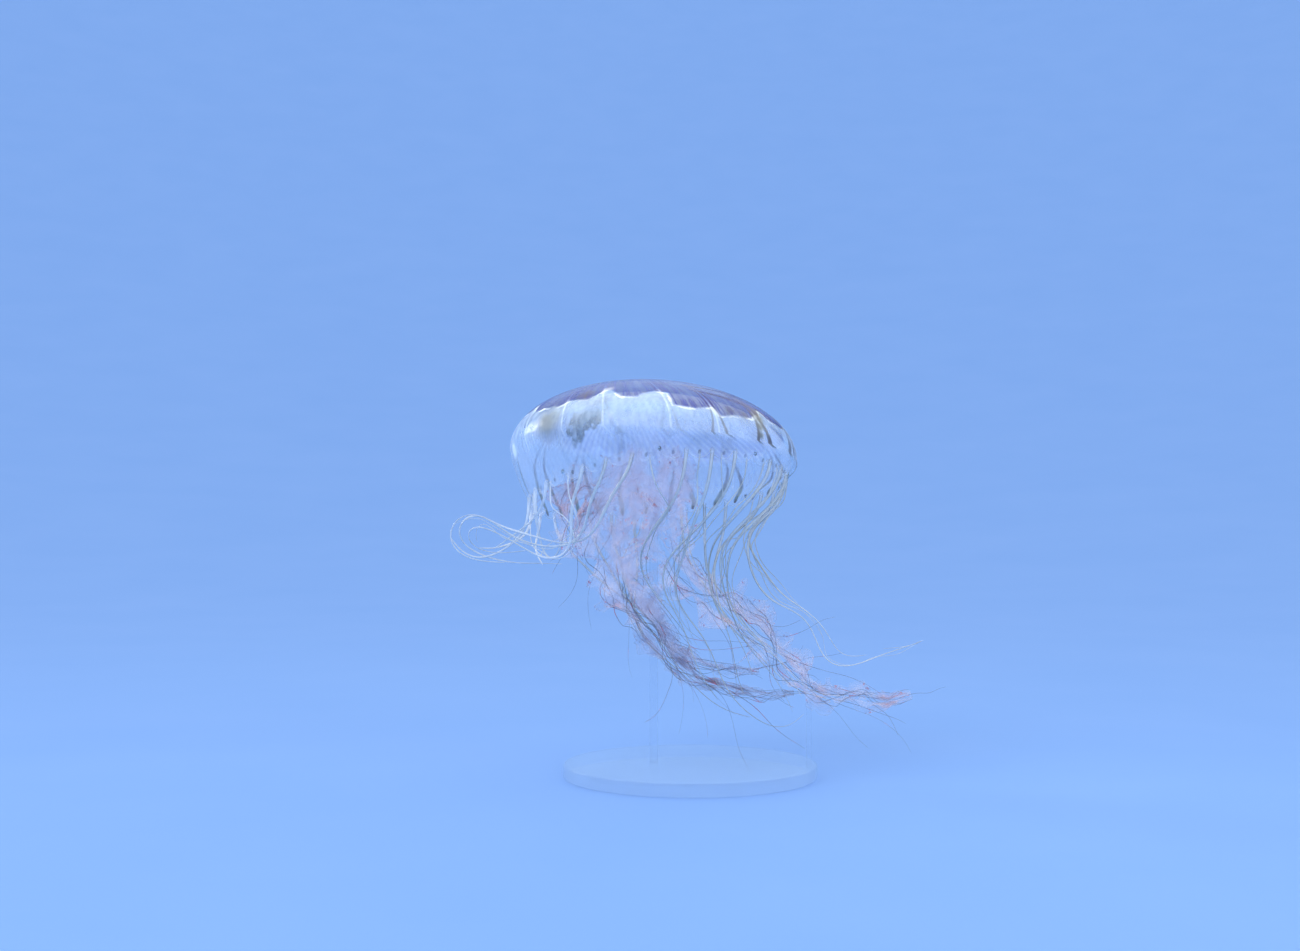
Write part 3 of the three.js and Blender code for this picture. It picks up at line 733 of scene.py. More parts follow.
# ---- Arms, mouth and stomach --------------------------------------------------------------
def frill_material(look, name, thin=1.0, soak=0.0):
    """Oral arm: tissue thinner than paper, so filmy that only its folds show, peach above
    and grey below, with rust-red specks strung along its edges."""
    # Painted light: soak sets a faint glow (emission) that stands in for light soaking through thin
    # tissue.
    material, node = new_material(name, Roughness=0.42, IOR=1.35, Coat_Weight=0.1, Coat_Roughness=0.3,
        Emission_Color=(*look.soak_colour, 1), Emission_Strength=soak)
    place = node("TexCoord", output=3)
    broad, middling, fine = (node("TexNoise", place, 1 / (size * MM), detail)
        for size, detail in ((18, 3.0), (6, 3.0), (1.8, 4.0)))
    map_place = node("UVMap", uv_map="UVMap")
    threads = node("Mapping", map_place, (0, 0, 0), (0, 0, 0), (14, 22, 1))
    threads = node("TexNoise", threads, 1, 4)
    across = node("SeparateXYZ", map_place)
    blush, age, tail = (node("Attribute", attribute_name=layer, output=2)
        for layer in ("blush", "age", "tail"))
    film = node("times", ("soft", broad, 0.3, 0.7, 0.12, 0.22), ("soft", threads, 0.3, 0.65, 0.5, 1.3),
        ("soft", middling, 0.3, 0.65, 0.5, 1.2), ("soft", across, 0.6, 1, 1, 0.5),
        ("ramp", tail, 0, 1, 1, 0.7), thin)
    rim = node("times", ("soft", across, 0.93, 0.99, 0, 0.12 * thin), ("ramp", middling, 0.4, 0.6))
    flecks = node("times", ("soft", fine, 0.58, 0.66, 0, 0.5), ("ramp", middling, 0.5, 0.62),
        ("ramp", across, 0.6, 0.9, 0.2, 1))
    stain = node("times", blush, ("soft", threads, 0.3, 0.65, 0.07, 0.24))
    tissue = node("mix", ("ramp", broad, 0.35, 0.65), look.frill, look.frill_pale)
    tissue = node("mix", age, tissue, look.frill_old)
    rust = node("mix", age, look.fleck, look.fleck_dark)
    grime = node("times", age, ("ramp", threads, 0.5, 0.7, 0, 0.06 * thin))
    colour, cover = coats(node, (tissue, film), (look.rim, rim), (look.fleck_dark, grime),
        (rust, flecks), (node("mix", age, look.flush, look.fleck_dark), stain))
    cover = node("times", cover, ("soft", across, 0, 0.3, 0.1, 1))
    return finish(material, Base_Color=colour, Alpha=node("least", cover, DENSEST),
        Normal=node("Bump", 0.4, 0.2 * MM, 1, fine))


# Where the arms are stained: place in millimetres, reach and strength.
BLUSHES = (((-70, -4, 164), 11, 1.3), ((-76, 0, 174), 6, 0.6), ((-22, -20, 167), 3, 1.0),
    ((-44, -16, 102), 4, 0.9), ((-2, -14, 112), 3.5, 0.9), ((8, -14, 108), 3, 0.8),
    ((22, -14, 96), 4, 0.9), ((24, -14, 118), 2.5, 0.7), ((56, -16, 68), 3.5, 0.8),
    ((64, -17, 55), 4, 0.9), ((76, -19, 50), 4.5, 0.7), ((115, -25, 48), 5, 0.8),
    ((-8, -14, 66), 5, 0.8), ((12, -14, 58), 6, 0.9), ((30, -15, 53), 5, 0.8))


def stains(points, table):
    """How strongly each point is stained by a table of places."""
    total = np.zeros(len(points))
    for place, reach, strength in table:
        gap = np.linalg.norm(points / MM - np.array(place), axis=1)
        total = np.maximum(total, strength * np.exp(-((gap / reach) ** 2)))
    return total


def aside(rows, sides, ups, angle, share):
    """From an arm's middle line to a place so far round and out from it."""
    wide = sides * (rows[:, 3] * np.cos(angle) * share)[:, None]
    return wide + ups * (rows[:, 4] * np.sin(angle) * share)[:, None]


def arm_path(name):
    """An arm's nodes, its even rows of place, half width and half depth, and distances."""
    nodes = [f"oral_arm_{name}_{i + 1}" for i in range(ARM_LENGTHS[name])]
    rings = strand_rings(nodes, ARM_SIDES)
    middles = np.array([ring.mean(axis=0) for ring in rings])
    _, sides, ups = turned_frames(middles)
    wide = [np.abs((r - m) @ s).max() for r, m, s in zip(rings, middles, sides)]
    deep = [np.abs((r - m) @ s).max() for r, m, s in zip(rings, middles, ups)]
    rows, at = even_rows(np.column_stack([middles, wide, deep]), 0.9 * MM)
    return nodes, rows, at


ARM_WAVES = [(31, 0.30, 0.9), (13, 0.20, 1.3), (5.3, 0.07, 2.5)]
ARM_SIDE_WAVES = [(17, 0.16, 1.3), (7, 0.08, 2.0)]
ARM_LOBES = [(37, 0.36), (14, 0.2), (5.1, 0.06)]


class SEANETTLE_OT_arms(Operator):
    """Hangs the four oral arms, each of ruffled curtains along one middle line"""

    bl_idname = "sea_nettle.arms"
    bl_label = "Model the oral arms"

    def execute(self, context):
        look = context.scene.sea_nettle_arms
        material = frill_material(look, "oral_arm_frill")
        for number, name in enumerate(ARMS):
            nodes, rows, at = arm_path(name)
            _, sides, ups = turned_frames(rows[:, :3])
            taper = 0.5 + 0.5 * smoothstep(at, 0, 10 * MM)
            curtains = []
            for turn in range(look.curtains):
                angle = FULL_TURN * turn / look.curtains + 0.35 * turn
                angle = angle + 0.6 * np.sin(at / (34 * MM) + turn)
                out = aside(rows, sides, ups, angle, taper)
                out *= lerp(look.fullness, 1.7, smoothstep(at, 0.4 * at[-1], 0.6 * at[-1]))[:, None]
                curtains.append(curtain("curtain", rows[:, :3], out, look.strips,
                    100 * number + 50 * turn, ARM_WAVES, ARM_SIDE_WAVES, ARM_LOBES, 0.18))
            obj = joined(curtains, f"oral_arm_{name}_frill")
            places = corners(obj)
            value_on(obj, "blush", stains(places, BLUSHES))
            gap = np.linalg.norm(places[:, None, :] - rows[None, ::20, :3], axis=2)
            nearest = gap.argmin(axis=1)
            share = at[::20][nearest] / at[-1]
            value_on(obj, "age", smoothstep(share, 0.38, 0.62) * look.aging[number])
            value_on(obj, "tail", 1 - smoothstep(rows[::20, 3][nearest], 1.5 * MM, 7 * MM))
            apply_modifier(obj, "SOLIDIFY", thickness=look.tissue * MM, offset=0)
            hand_over(obj, "arm_flesh", material, nodes=nodes)
        return {"FINISHED"}


# How far right a wisp may reach, in metres, the bends of its line and the way it drifts.
WISP_LIMIT = 0.158
WISP_BENDS = 24
WISP_DRIFT = np.array((0.5, 0.0, -0.5))
WISP_SIDES = 5


def wisp_material(look):
    """Wisp: a thread of torn frill, grey-olive and here and there rust red."""
    material, node = new_material("oral_arm_wisp", Roughness=0.45, IOR=1.35)
    patches = node("TexNoise", node("TexCoord", output=3), 1 / (12 * MM), 3)
    colour = node("mix", ("ramp", patches, 0.56, 0.66), look.wisp, look.fleck)
    return finish(material, Base_Color=colour, Alpha=node("ramp", patches, 0.3, 0.7, 0.3, 0.6))


class SEANETTLE_OT_wisps(Operator):
    """Hangs fine threads of torn frill on the arms"""

    bl_idname = "sea_nettle.wisps"
    bl_label = "Model the wisps"

    def execute(self, context):
        look = context.scene.sea_nettle_arms
        material = wisp_material(look)
        for number, name in enumerate(ARMS):
            _, rows, at = arm_path(name)
            runs, sides, ups = turned_frames(rows[:, :3])
            dice = np.random.RandomState(900 + number)
            threads = []
            for k in range(int(look.wisps * at[-1] / 0.3)):
                start = dice.randint(len(rows) // 8, len(rows) - 2)
                angle = dice.uniform(0, FULL_TURN)
                out = sides[start] * math.cos(angle) * rows[start, 3]
                out = out + ups[start] * math.sin(angle) * rows[start, 4]
                heading = runs[start] + 0.4 * out / np.linalg.norm(out)
                length = min(dice.uniform(*look.wisp_length) * MM, WISP_LIMIT - rows[start, 0])
                turn = dice.uniform(-1, 1, 3) * 0.3
                place = rows[start, :3] + 0.6 * out
                line = [place]
                for _ in range(WISP_BENDS):
                    turn = 0.85 * turn + dice.uniform(-1, 1, 3) * 0.25
                    heading = heading + 0.22 * turn + 0.05 * WISP_DRIFT
                    heading = heading / np.linalg.norm(heading)
                    place = place + heading * length / WISP_BENDS
                    line.append(place)
                line = eased(np.array(line), 3)
                share = np.linspace(0, 1, len(line))
                size = look.wisp_size * MM * (1 - 0.6 * share) * dice.uniform(0.6, 1.2)
                size[0] = size[-1] = 0
                threads.append(tube("wisp", line, size, WISP_SIDES))
            for k in range(look.strings):
                first = int(len(rows) * dice.uniform(0.25, 0.5))
                way = at[first:] / MM
                angle = dice.uniform(0, FULL_TURN) + wander(way, [(140, 1.2)], 30 * k)
                share = dice.uniform(0.5, 1.2)
                line = rows[first:, :3] + aside(rows[first:], sides[first:], ups[first:], angle, share)
                sway = [wander(way, [(53, 2.2), (19, 0.7)], 30 * k + 7 * j) for j in range(3)]
                line += np.array(sway).T * MM
                line = line[::3]
                size = look.wisp_size * 1.3 * MM * np.linspace(1, 0.5, len(line))
                size[0] = size[-1] = 0
                threads.append(tube("string", line, size, WISP_SIDES))
            obj = joined(threads, f"oral_arm_{name}_wisps")
            edit(obj, merge_corners, face_out)
            hand_over(obj, "arm_flesh", material)
        return {"FINISHED"}


VEIL_RADIUS = 15
VEIL_SPREAD = (11, 9)


class SEANETTLE_OT_mouth(Operator):
    """Turns the stomach and mouth tube under the dome and hangs the mouth's veil"""

    bl_idname = "sea_nettle.mouth"
    bl_label = "Model the stomach and mouth"

    def execute(self, context):
        look = context.scene.sea_nettle_arms
        key = [(0, MOUTH_LEVEL), (MOUTH_RADIUS - 2, MOUTH_LEVEL), (MOUTH_RADIUS, MOUTH_LEVEL + 1)]
        key += [(MOUTH_RADIUS - 1.5, MOUTH_TUBE_TOP), (STOMACH_RADIUS, STOMACH_LEVEL)]
        key += [tuple(inner_line(u) + np.array((0, -0.6))) for u in (0.3, 0.22, 0.15, 0.07, 0)]
        rows = spline(key, np.linspace(0, len(key) - 1, 60))
        rows[:, 0] = np.maximum(rows[:, 0], 0)
        rows[0, 0] = rows[-1, 0] = 0
        obj = spun("stomach_skin", [tuple(row) for row in rows], 96)
        points = corners(obj)
        azimuth = np.arctan2(points[:, 1], points[:, 0])
        points[:, :2] *= (1 - 0.05 * (1 + np.cos(4 * azimuth)))[:, None]
        move_corners(obj, into_model(points))
        layer = obj.data.uv_layers.new(name="UVMap")
        layer.data.foreach_set("uv", np.full(2 * len(obj.data.loops), 0.3, np.float32))

        ring = np.linspace(0, FULL_TURN, 361)
        flare = 1 + 0.10 * np.cos(4 * ring + math.pi)
        level = np.full(len(ring), MOUTH_LEVEL + 2.0)
        round_x, round_y = np.cos(ring), np.sin(ring)
        line = np.stack([VEIL_RADIUS * flare * round_x, VEIL_RADIUS * flare * round_y, level], axis=1)
        fall = [VEIL_SPREAD[0] * round_x, VEIL_SPREAD[1] * round_y, 0 * ring - look.veil]
        fall = np.stack(fall, axis=1)
        fall = fall * (1 + 0.25 * np.cos(4 * ring + 0.7))[:, None]
        veil = curtain("mouth_veil", into_model(line), into_model(line + fall) - into_model(line), 30,
            700, [(23, 0.13, 0.8), (9, 0.06, 1.4), (4, 0.02, 2.5)], [(13, 0.05, 1.5)],
            [(17, 0.14), (6, 0.06)])
        apply_modifier(veil, "SOLIDIFY", thickness=look.tissue * MM, offset=0)
        for piece, nodes, thin in ((obj, ["stomach"], 0.8), (veil, [], 0.55)):
            places = corners(piece)
            value_on(piece, "blush", stains(places, BLUSHES) * 0.8)
            value_on(piece, "age", np.zeros(len(places)))
            # look.soak gives the stomach and veil a painted glow for the light that soaks through them.
            material = frill_material(look, f"{piece.name}_tissue", thin, look.soak)
            hand_over(piece, "arm_flesh", material, nodes=nodes)
        return {"FINISHED"}


# A gonad's arch: how far out it stands, its depth and half width, how far its ends turn, and
# how it hangs, in millimetres and radians.
GONAD_OUT = 34
GONAD_ARCH = (13, 16)
GONAD_TURN = 1.9
GONAD_FALL = (2.0, 0, -22.0)
GONAD_THICKNESS = 0.8


class SEANETTLE_OT_gonads(Operator):
    """Folds the four gonads that hang in a ring under the dome"""

    bl_idname = "sea_nettle.gonads"
    bl_label = "Model the gonads"

    def execute(self, context):
        look = context.scene.sea_nettle_arms
        material = gonad_material(look)
        for number in range(4):
            share = np.linspace(-1, 1, 90)
            x = GONAD_OUT + GONAD_ARCH[0] * np.cos(share * GONAD_TURN)
            y = GONAD_ARCH[1] * np.sin(share * GONAD_TURN)
            ceiling = [inner_line(2 / math.pi * math.asin(min(r / BELL_RADIUS, 1)))[1] for r in x]
            line = np.stack([x, y, np.array(ceiling) - 1.0], axis=1)
            fall = np.tile(GONAD_FALL, (len(share), 1)) * np.cos(share * 1.1)[:, None]
            turn = math.radians(90 * number + 12)
            spin = np.array(Matrix.Rotation(turn, 3, "Z"))
            line, fall = line @ spin.T, fall @ spin.T
            obj = curtain(f"gonad_{number + 1}", into_model(line),
                into_model(line + fall) - into_model(line), 20, 810 + 50 * number,
                [(9, 0.15, 0.6), (4.1, 0.05, 1.0)], [(6, 0.06, 1.0)], [(11, 0.16), (5, 0.05)])
            apply_modifier(obj, "SOLIDIFY", thickness=GONAD_THICKNESS * MM, offset=0)
            value_on(obj, "ripeness", np.full(len(obj.data.vertices), look.ripeness[number]))
            hand_over(obj, "arm_flesh", material)
        return {"FINISHED"}


def gonad_material(look):
    """Gonad: a folded ribbon of soft tissue, olive brown with a paler upper edge."""
    material, node = new_material("gonad_ribbon", Roughness=0.4, IOR=1.36, Coat_Weight=0.2)
    place = node("TexCoord", output=3)
    fine = node("TexNoise", place, 1 / (1.5 * MM), 4)
    middling = node("TexNoise", place, 1 / (5 * MM), 3)
    across = node("SeparateXYZ", node("UVMap", uv_map="UVMap"))
    cover = node("times", ("ramp", across, 0, 0.7, 0.15, 0.6), ("soft", across, 0.8, 1, 1, 0.1),
        ("ramp", fine, 0.35, 0.65, 0.5, 1.3), ("soft", middling, 0.42, 0.56, 0.1, 1),
        node("Attribute", attribute_name="ripeness", output=2))
    ribbon = node("ramp", across, 0.2, 0.9)
    return finish(material, Base_Color=node("mix", ribbon, look.gonad_pale, look.gonad), Alpha=cover,
        Normal=node("Bump", 0.5, 0.3 * MM, 1, fine))


# ---- Tentacles ----------------------------------------------------------------------------
def tentacle_material(look):
    """Tentacle: a firm clear ribbon of muscle, cream down the middle, with an olive line at
    each edge: painted shade for the darker edges that a clear strand shows seen edge-on."""
    material, node = new_material("tentacle_banded", Roughness=0.3, IOR=1.36, Coat_Weight=0.4,
        Coat_Roughness=0.12)
    patches = node("TexNoise", node("TexCoord", output=3), 1 / (9 * MM), 3)
    around = node("SeparateXYZ", node("UVMap", uv_map="UVMap"))
    tone, root = (node("Attribute", attribute_name=name, output=2) for name in ("tone", "root"))
    halves = node("Math", ("times", around, 2), operation="FRACT")
    off = node("least", halves, ("less", 1, halves))
    along = node("SeparateXYZ", node("UVMap", uv_map="UVMap"), output=1)
    wide = node("ramp", along, 0.2, 0.6, 0.24, 0.4)
    # Painted shade: olive lines at the ribbon's two wide edges, where its outline mostly falls, stand
    # in for its darker edges.
    edge = node("times", ("soft", ("over", off, wide), 0.5, 1, 1, 0),
        ("soft", patches, 0.3, 0.6, 0.6, 1), ("ramp", tone, 0, 1, 0.35, 1.1))
    body = node("mix", tone, look.pale, look.cream)
    film = node("times", ("soft", patches, 0.3, 0.7, 0.7, 1.2), ("ramp", tone, 0, 1, 0.66, 0.5))
    colour, cover = coats(node, (body, film), (look.olive, edge))
    cover = node("times", cover, ("ramp", root, 0, 1, 1, 0.2))
    return finish(material, Base_Color=colour, Alpha=node("least", cover, DENSEST))


def tentacle_rows(nodes, step):
    """A tentacle's even rows of place and radius, let a little way into the bell, and the
    distances along it."""
    rings = strand_rings(nodes, TENTACLE_SIDES)
    middles = np.array([ring.mean(axis=0) for ring in rings])
    radii = [np.linalg.norm(r - m, axis=1).max() for r, m in zip(rings, middles)]
    radii[0] = radii[1]
    inward = middles[0] + BELL_UP * 1.6 * MM
    rows = np.column_stack([np.concatenate([[inward], middles]), [radii[0], *radii]])
    return even_rows(rows, step)


def tentacle_skin(name, rows, at, look, seed):
    """A tentacle's flattened tube, with a soft bulb at its root and a fine tip."""
    bulb = 1 + 0.25 * np.exp(-((at / (6 * MM)) ** 2))
    tip = np.sqrt(np.clip((at[-1] - at) / (4 * MM), 0, 1))
    left = 1 - smoothstep(rows[:, 0], -0.1, -0.06)
    narrow = 1 - look.narrowing * smoothstep(at, 30 * MM, 140 * MM) * (1 - 0.8 * left)
    size = rows[:, 3] * bulb * tip * look.girth * narrow
    size[0] = 0
    twist = wander(at / MM, [(90, 0.5)], seed)
    obj = tube(name, rows[:, :3], size, look.sides, 0.6, twist)
    edit(obj, merge_corners, face_out)
    places = corners(obj)
    x, _, z = places.T / MM
    pale_end = smoothstep(x, 35, 60) * smoothstep(-z, -125, -105)
    value_on(obj, "tone", smoothstep(x, -80, -35) * (1 - 0.8 * pale_end))
    value_on(obj, "root", np.exp(-(np.linalg.norm(places - rows[0, :3], axis=1) / (4 * MM)) ** 2))
    return obj


def node_names(number):
    stem = f"tentacle_{number:02d}"
    return [stem] if number in SINGLE_TENTACLES else [f"{stem}_upper", f"{stem}_lower"]


class SEANETTLE_OT_tentacles(Operator):
    """Runs the twenty-four tentacles down from the clefts of the margin"""

    bl_idname = "sea_nettle.tentacles"
    bl_label = "Model the tentacles"

    def execute(self, context):
        look = context.scene.sea_nettle_tentacles
        material = tentacle_material(look)
        for number in TENTACLES:
            nodes = node_names(number)
            rows, at = tentacle_rows(nodes, look.step * MM)
            rows = eased(rows, look.easing)
            obj = tentacle_skin(f"tentacle_{number:02d}_skin", rows, at, look, number)
            hand_over(obj, "tentacle_flesh", material, nodes=nodes)
        return {"FINISHED"}


# Young tentacles: the full-grown one beside, the azimuth of its root in degrees, and how far
# it stands off to the right and back in millimetres.
YOUNG = ((2, 18, 3.5, 2), (2, 6, -3, -3), (3, 40, 3, 2), (6, 76, 3, 3), (8, 96, -3, 2), (9, 110, 3, -2),
    (11, 134, 3, 2), (14, 177, -2.5, 2), (15, 200, 3, -2), (16, 217, 3, 3), (17, 229, -3, -2),
    (19, 266, 3, -3), (20, 287, -3, -3), (21, 297, 3, 3), (21, 310, 5, -3), (22, 321, -3, -3),
    (23, 333, 3, -3), (24, 344, 4, -2), (24, 355, -3, 3), (1, 2, 4, 3))


class SEANETTLE_OT_young_tentacles(Operator):
    """Adds the thin young tentacles that grow between the full-grown ones"""

    bl_idname = "sea_nettle.young_tentacles"
    bl_label = "Model the young tentacles"

    def execute(self, context):
        look = context.scene.sea_nettle_tentacles
        material = tentacle_material(look)
        for count, (number, degrees, right, back) in enumerate(YOUNG):
            rows, at = tentacle_rows(node_names(number), look.step * MM)
            rows = eased(rows, look.easing)
            keep = max(int(len(rows) * (0.62 + 0.3 * ((count * 0.618) % 1))), 20)
            rows, at = rows[:keep], at[:keep]
            root = margin_point(math.radians(degrees), 2.5)
            joining = smoothstep(at, 0, 0.055)[:, None]
            beside = np.array((right, back, 0)) * MM
            sway = np.stack([wander(at / MM, [(47, 1.3)], 300 + 3 * count + k) for k in range(3)])
            grown = (at / (30 * MM)).clip(0, 1)[:, None]
            rows[:, :3] += (root - rows[0, :3]) * (1 - joining) + beside * joining
            rows[:, :3] += sway.T * MM * grown
            rows[:, 3] = look.young_size * MM * (1 - 0.55 * at / at[-1])
            obj = tentacle_skin(f"young_tentacle_{count + 1:02d}", rows, at, look, 200 + count)
            hand_over(obj, "tentacle_flesh", material)
        return {"FINISHED"}


class SEANETTLE_OT_sense_organs(Operator):
    """Sets the eight sense organs in their clefts"""

    bl_idname = "sea_nettle.sense_organs"
    bl_label = "Model the sense organs"

    def execute(self, context):
        look = context.scene.sea_nettle_bell
        material = organ_material(look)
        for number in range(8):
            place = margin_point(number * FULL_TURN / 8, 0.8)
            obj = primitive(f"sense_organ_{number + 1}", "uv_sphere", segments=24, ring_count=16,
                radius=look.organ * MM, location=place)
            points = corners(obj)
            gap = (points - place) @ BELL_UP
            points += np.outer(0.9 * gap, BELL_UP)
            narrow = 1 - 0.35 * smoothstep(gap, 0, look.organ * MM)
            middle = place + np.outer((points - place) @ BELL_UP, BELL_UP)
            move_corners(obj, middle + (points - middle) * narrow[:, None])
            hand_over(obj, "bell_jelly", material)
        return {"FINISHED"}


def organ_material(look):
    """Sense organ: a tiny club, milky, with a brown speck of pigment at its end."""
    material, node = new_material("sense_organ_club", Roughness=0.35, IOR=1.36)
    dots = node("TexNoise", node("TexCoord", output=3), 1 / (0.9 * MM), 2)
    dots = node("soft", dots, 0.45, 0.55)
    return finish(material, Base_Color=node("mix", dots, look.ray, look.milk),
        Alpha=node("ramp", dots, 0, 1, 0.9, 0.6))


# ---- Stand --------------------------------------------------------------------------------
def acrylic_material(look):
    """Cast acrylic, machined and flame-polished: water-clear, with bright edges."""
    material, node = new_material("acrylic_polished", Base_Color=(*look.tint, 1), IOR=1.49,
        Specular_IOR_Level=0.25, Coat_Weight=0.3)
    place = node("TexCoord", output=3)
    haze = node("TexNoise", place, 1 / (20 * MM), 3)
    edge = node("LayerWeight", 0.5, output=1)
    return finish(material, Roughness=node("ramp", haze, 0.3, 0.7, 0.02, 0.06),
        Alpha=node("soft", edge, 0.4, 1, 0.08, look.clearness))


class SEANETTLE_OT_stand(Operator):
    """Makes the clear foot and the two rods that hold the animal up"""

    bl_idname = "sea_nettle.stand"
    bl_label = "Model the stand"

    def execute(self, context):
        look = context.scene.sea_nettle_stand
        material = acrylic_material(look)
        for node, sides, edge in (("stand_foot", 128, look.foot_edge),
                ("stand_rod_bell", 32, look.rod_edge), ("stand_rod_arm", 32, look.rod_edge)):
            low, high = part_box(node)
            size = high - low
            obj = primitive(f"{node}_clear", "cylinder", vertices=sides, radius=size.x / 2,
                depth=size.z, location=(low + high) / 2)
            apply_modifier(obj, "BEVEL", width=edge * MM, segments=4, limit_method="ANGLE")
            hand_over(obj, "clear_acrylic", material, nodes=[node])
            bpy.ops.object.shade_smooth_by_angle(angle=math.radians(40))
        return {"FINISHED"}


# ---- Stage --------------------------------------------------------------------------------
# The floor's reach and rise in metres, and the share of it that is flat.
FLOOR_REACH = 9.0
FLOOR_RISE = 3.6
FLOOR_FLAT = 0.12
FLOOR_GAP = 0.3 * MM
# Each light's place, aim, width in metres and spread in degrees.
LIGHTS = {"key": ((-0.9, -0.9, 1.5), (-0.02, 0, 0.15), 1.0, 180),
    "rim": ((-0.9, 0.5, 0.5), (-0.02, 0, 0.18), 0.3, 30),
    "fill": ((1.2, -0.9, 0.9), (-0.02, 0, 0.12), 1.0, 180)}
CAMERA_PLACE = (-0.024, -1.1, 0.1803)
LENS = 50.8
SENSOR = 36
CLEAR_LAYERS = 96


def floor_material(stage):
    """Matt painted board with a faint mottle, so that it never looks like a flat fill."""
    material, node = new_material("board_matt_paint", Roughness=0.85)
    mottle = node("TexNoise", node("TexCoord", output=3), 1 / (160 * MM), 3)
    return finish(material, Base_Color=node("mix", mottle, stage.floor, stage.floor_pale))


class SEANETTLE_OT_stage(Operator):
    """Lays the pale floor, sets the soft lights and the camera"""

    bl_idname = "sea_nettle.stage"
    bl_label = "Set the stage"

    def execute(self, context):
        stage = context.scene.sea_nettle_stage
        # The floor lies a hair under the foot and rises all round in one soft sweep.
        ways = np.linspace(0, 1, 40)
        rise = FLOOR_RISE * np.clip((ways - FLOOR_FLAT) / (1 - FLOOR_FLAT), 0, 1) ** 2
        profile = [(FLOOR_REACH * w, z - FLOOR_GAP) for w, z in zip(ways, rise)]
        floor = spun("floor_sweep", profile, 96)
        bpy.ops.object.shade_smooth()
        floor.data.materials.append(floor_material(stage))

        world = bpy.data.worlds.new("studio_air")
        world.use_nodes = True
        sky = world.node_tree.nodes["Background"]
        sky.inputs["Color"].default_value = (*stage.air, 1)
        sky.inputs["Strength"].default_value = stage.air_strength
        context.scene.world = world

        for name, (place, aim, size, spread) in LIGHTS.items():
            turn = (Vector(aim) - Vector(place)).to_track_quat("-Z", "Y").to_euler()
            bpy.ops.object.light_add(type="AREA", location=place, rotation=turn)
            light = context.object
            light.name = light.data.name = f"{name}_light"
            light.data.shape = "DISK"
            light.data.size = size
            light.data.energy = getattr(stage, name)
            light.data.spread = math.radians(spread)

        bpy.ops.object.camera_add(location=CAMERA_PLACE, rotation=(math.pi / 2, 0, 0))
        camera = context.object
        camera.name = "studio_camera"
        camera.data.lens = LENS
        camera.data.sensor_width = SENSOR
        camera.data.clip_start = 0.01
        context.scene.camera = camera
        context.scene.view_settings.view_transform = "Standard"
        context.scene.cycles.transparent_max_bounces = CLEAR_LAYERS
        return {"FINISHED"}


# ---- Settings -----------------------------------------------------------------------------
def colour_setting(name, text, code):
    """A colour property whose default is an sRGB hex code."""
    return FloatVectorProperty(name=name, description=text, default=linear(code), min=0, max=1,
        subtype="COLOR", size=3)


def number_setting(name, text, value, kind=FloatProperty, **limits):
    """A number property."""
    return kind(name=name, description=text, default=value, **limits)


class SeaNettleBell(PropertyGroup):
    turns: number_setting("Turns", "Faces round the bell", 512, IntProperty, min=64, max=1024)
    soak: number_setting("Soak", "Strength of the light that soaks through the crown", 0.2)
    soak_colour: colour_setting("Soaked light", "Light that soaks through the crown", "fbf8ff")
    organ: number_setting("Sense organ", "Radius of a sense organ in millimetres", 0.8)
    jelly: colour_setting("Jelly", "Clear jelly", "e4eefa")
    jelly_warm: colour_setting("Warm jelly", "Jelly with a trace of pigment", "e6dcd6")
    milk: colour_setting("Milk", "Milky jelly under the scalloped line", "c6e8ff")
    crown: colour_setting("Crown", "Pigment of the crown", "2a3598")
    crown_warm: colour_setting("Warm crown", "Browner pigment of the crown", "3b3478")
    ray: colour_setting("Ray", "Forked rays at their top", "3c2822")
    ray_low: colour_setting("Low ray", "Forked rays on the skirt", "2c5418")
    spot: colour_setting("Spot", "Spot on each lappet", "2a1a1c")
    # Partly painted light: this milk under the crown stands in for light soaking through it.
    lining: colour_setting("Lining", "Milky under side of the crown", "a4ccf8")
    line: colour_setting("Line", "Scalloped and radial lines", "f6feff")
    moss: colour_setting("Moss", "Patches of the wall", "5c5430")


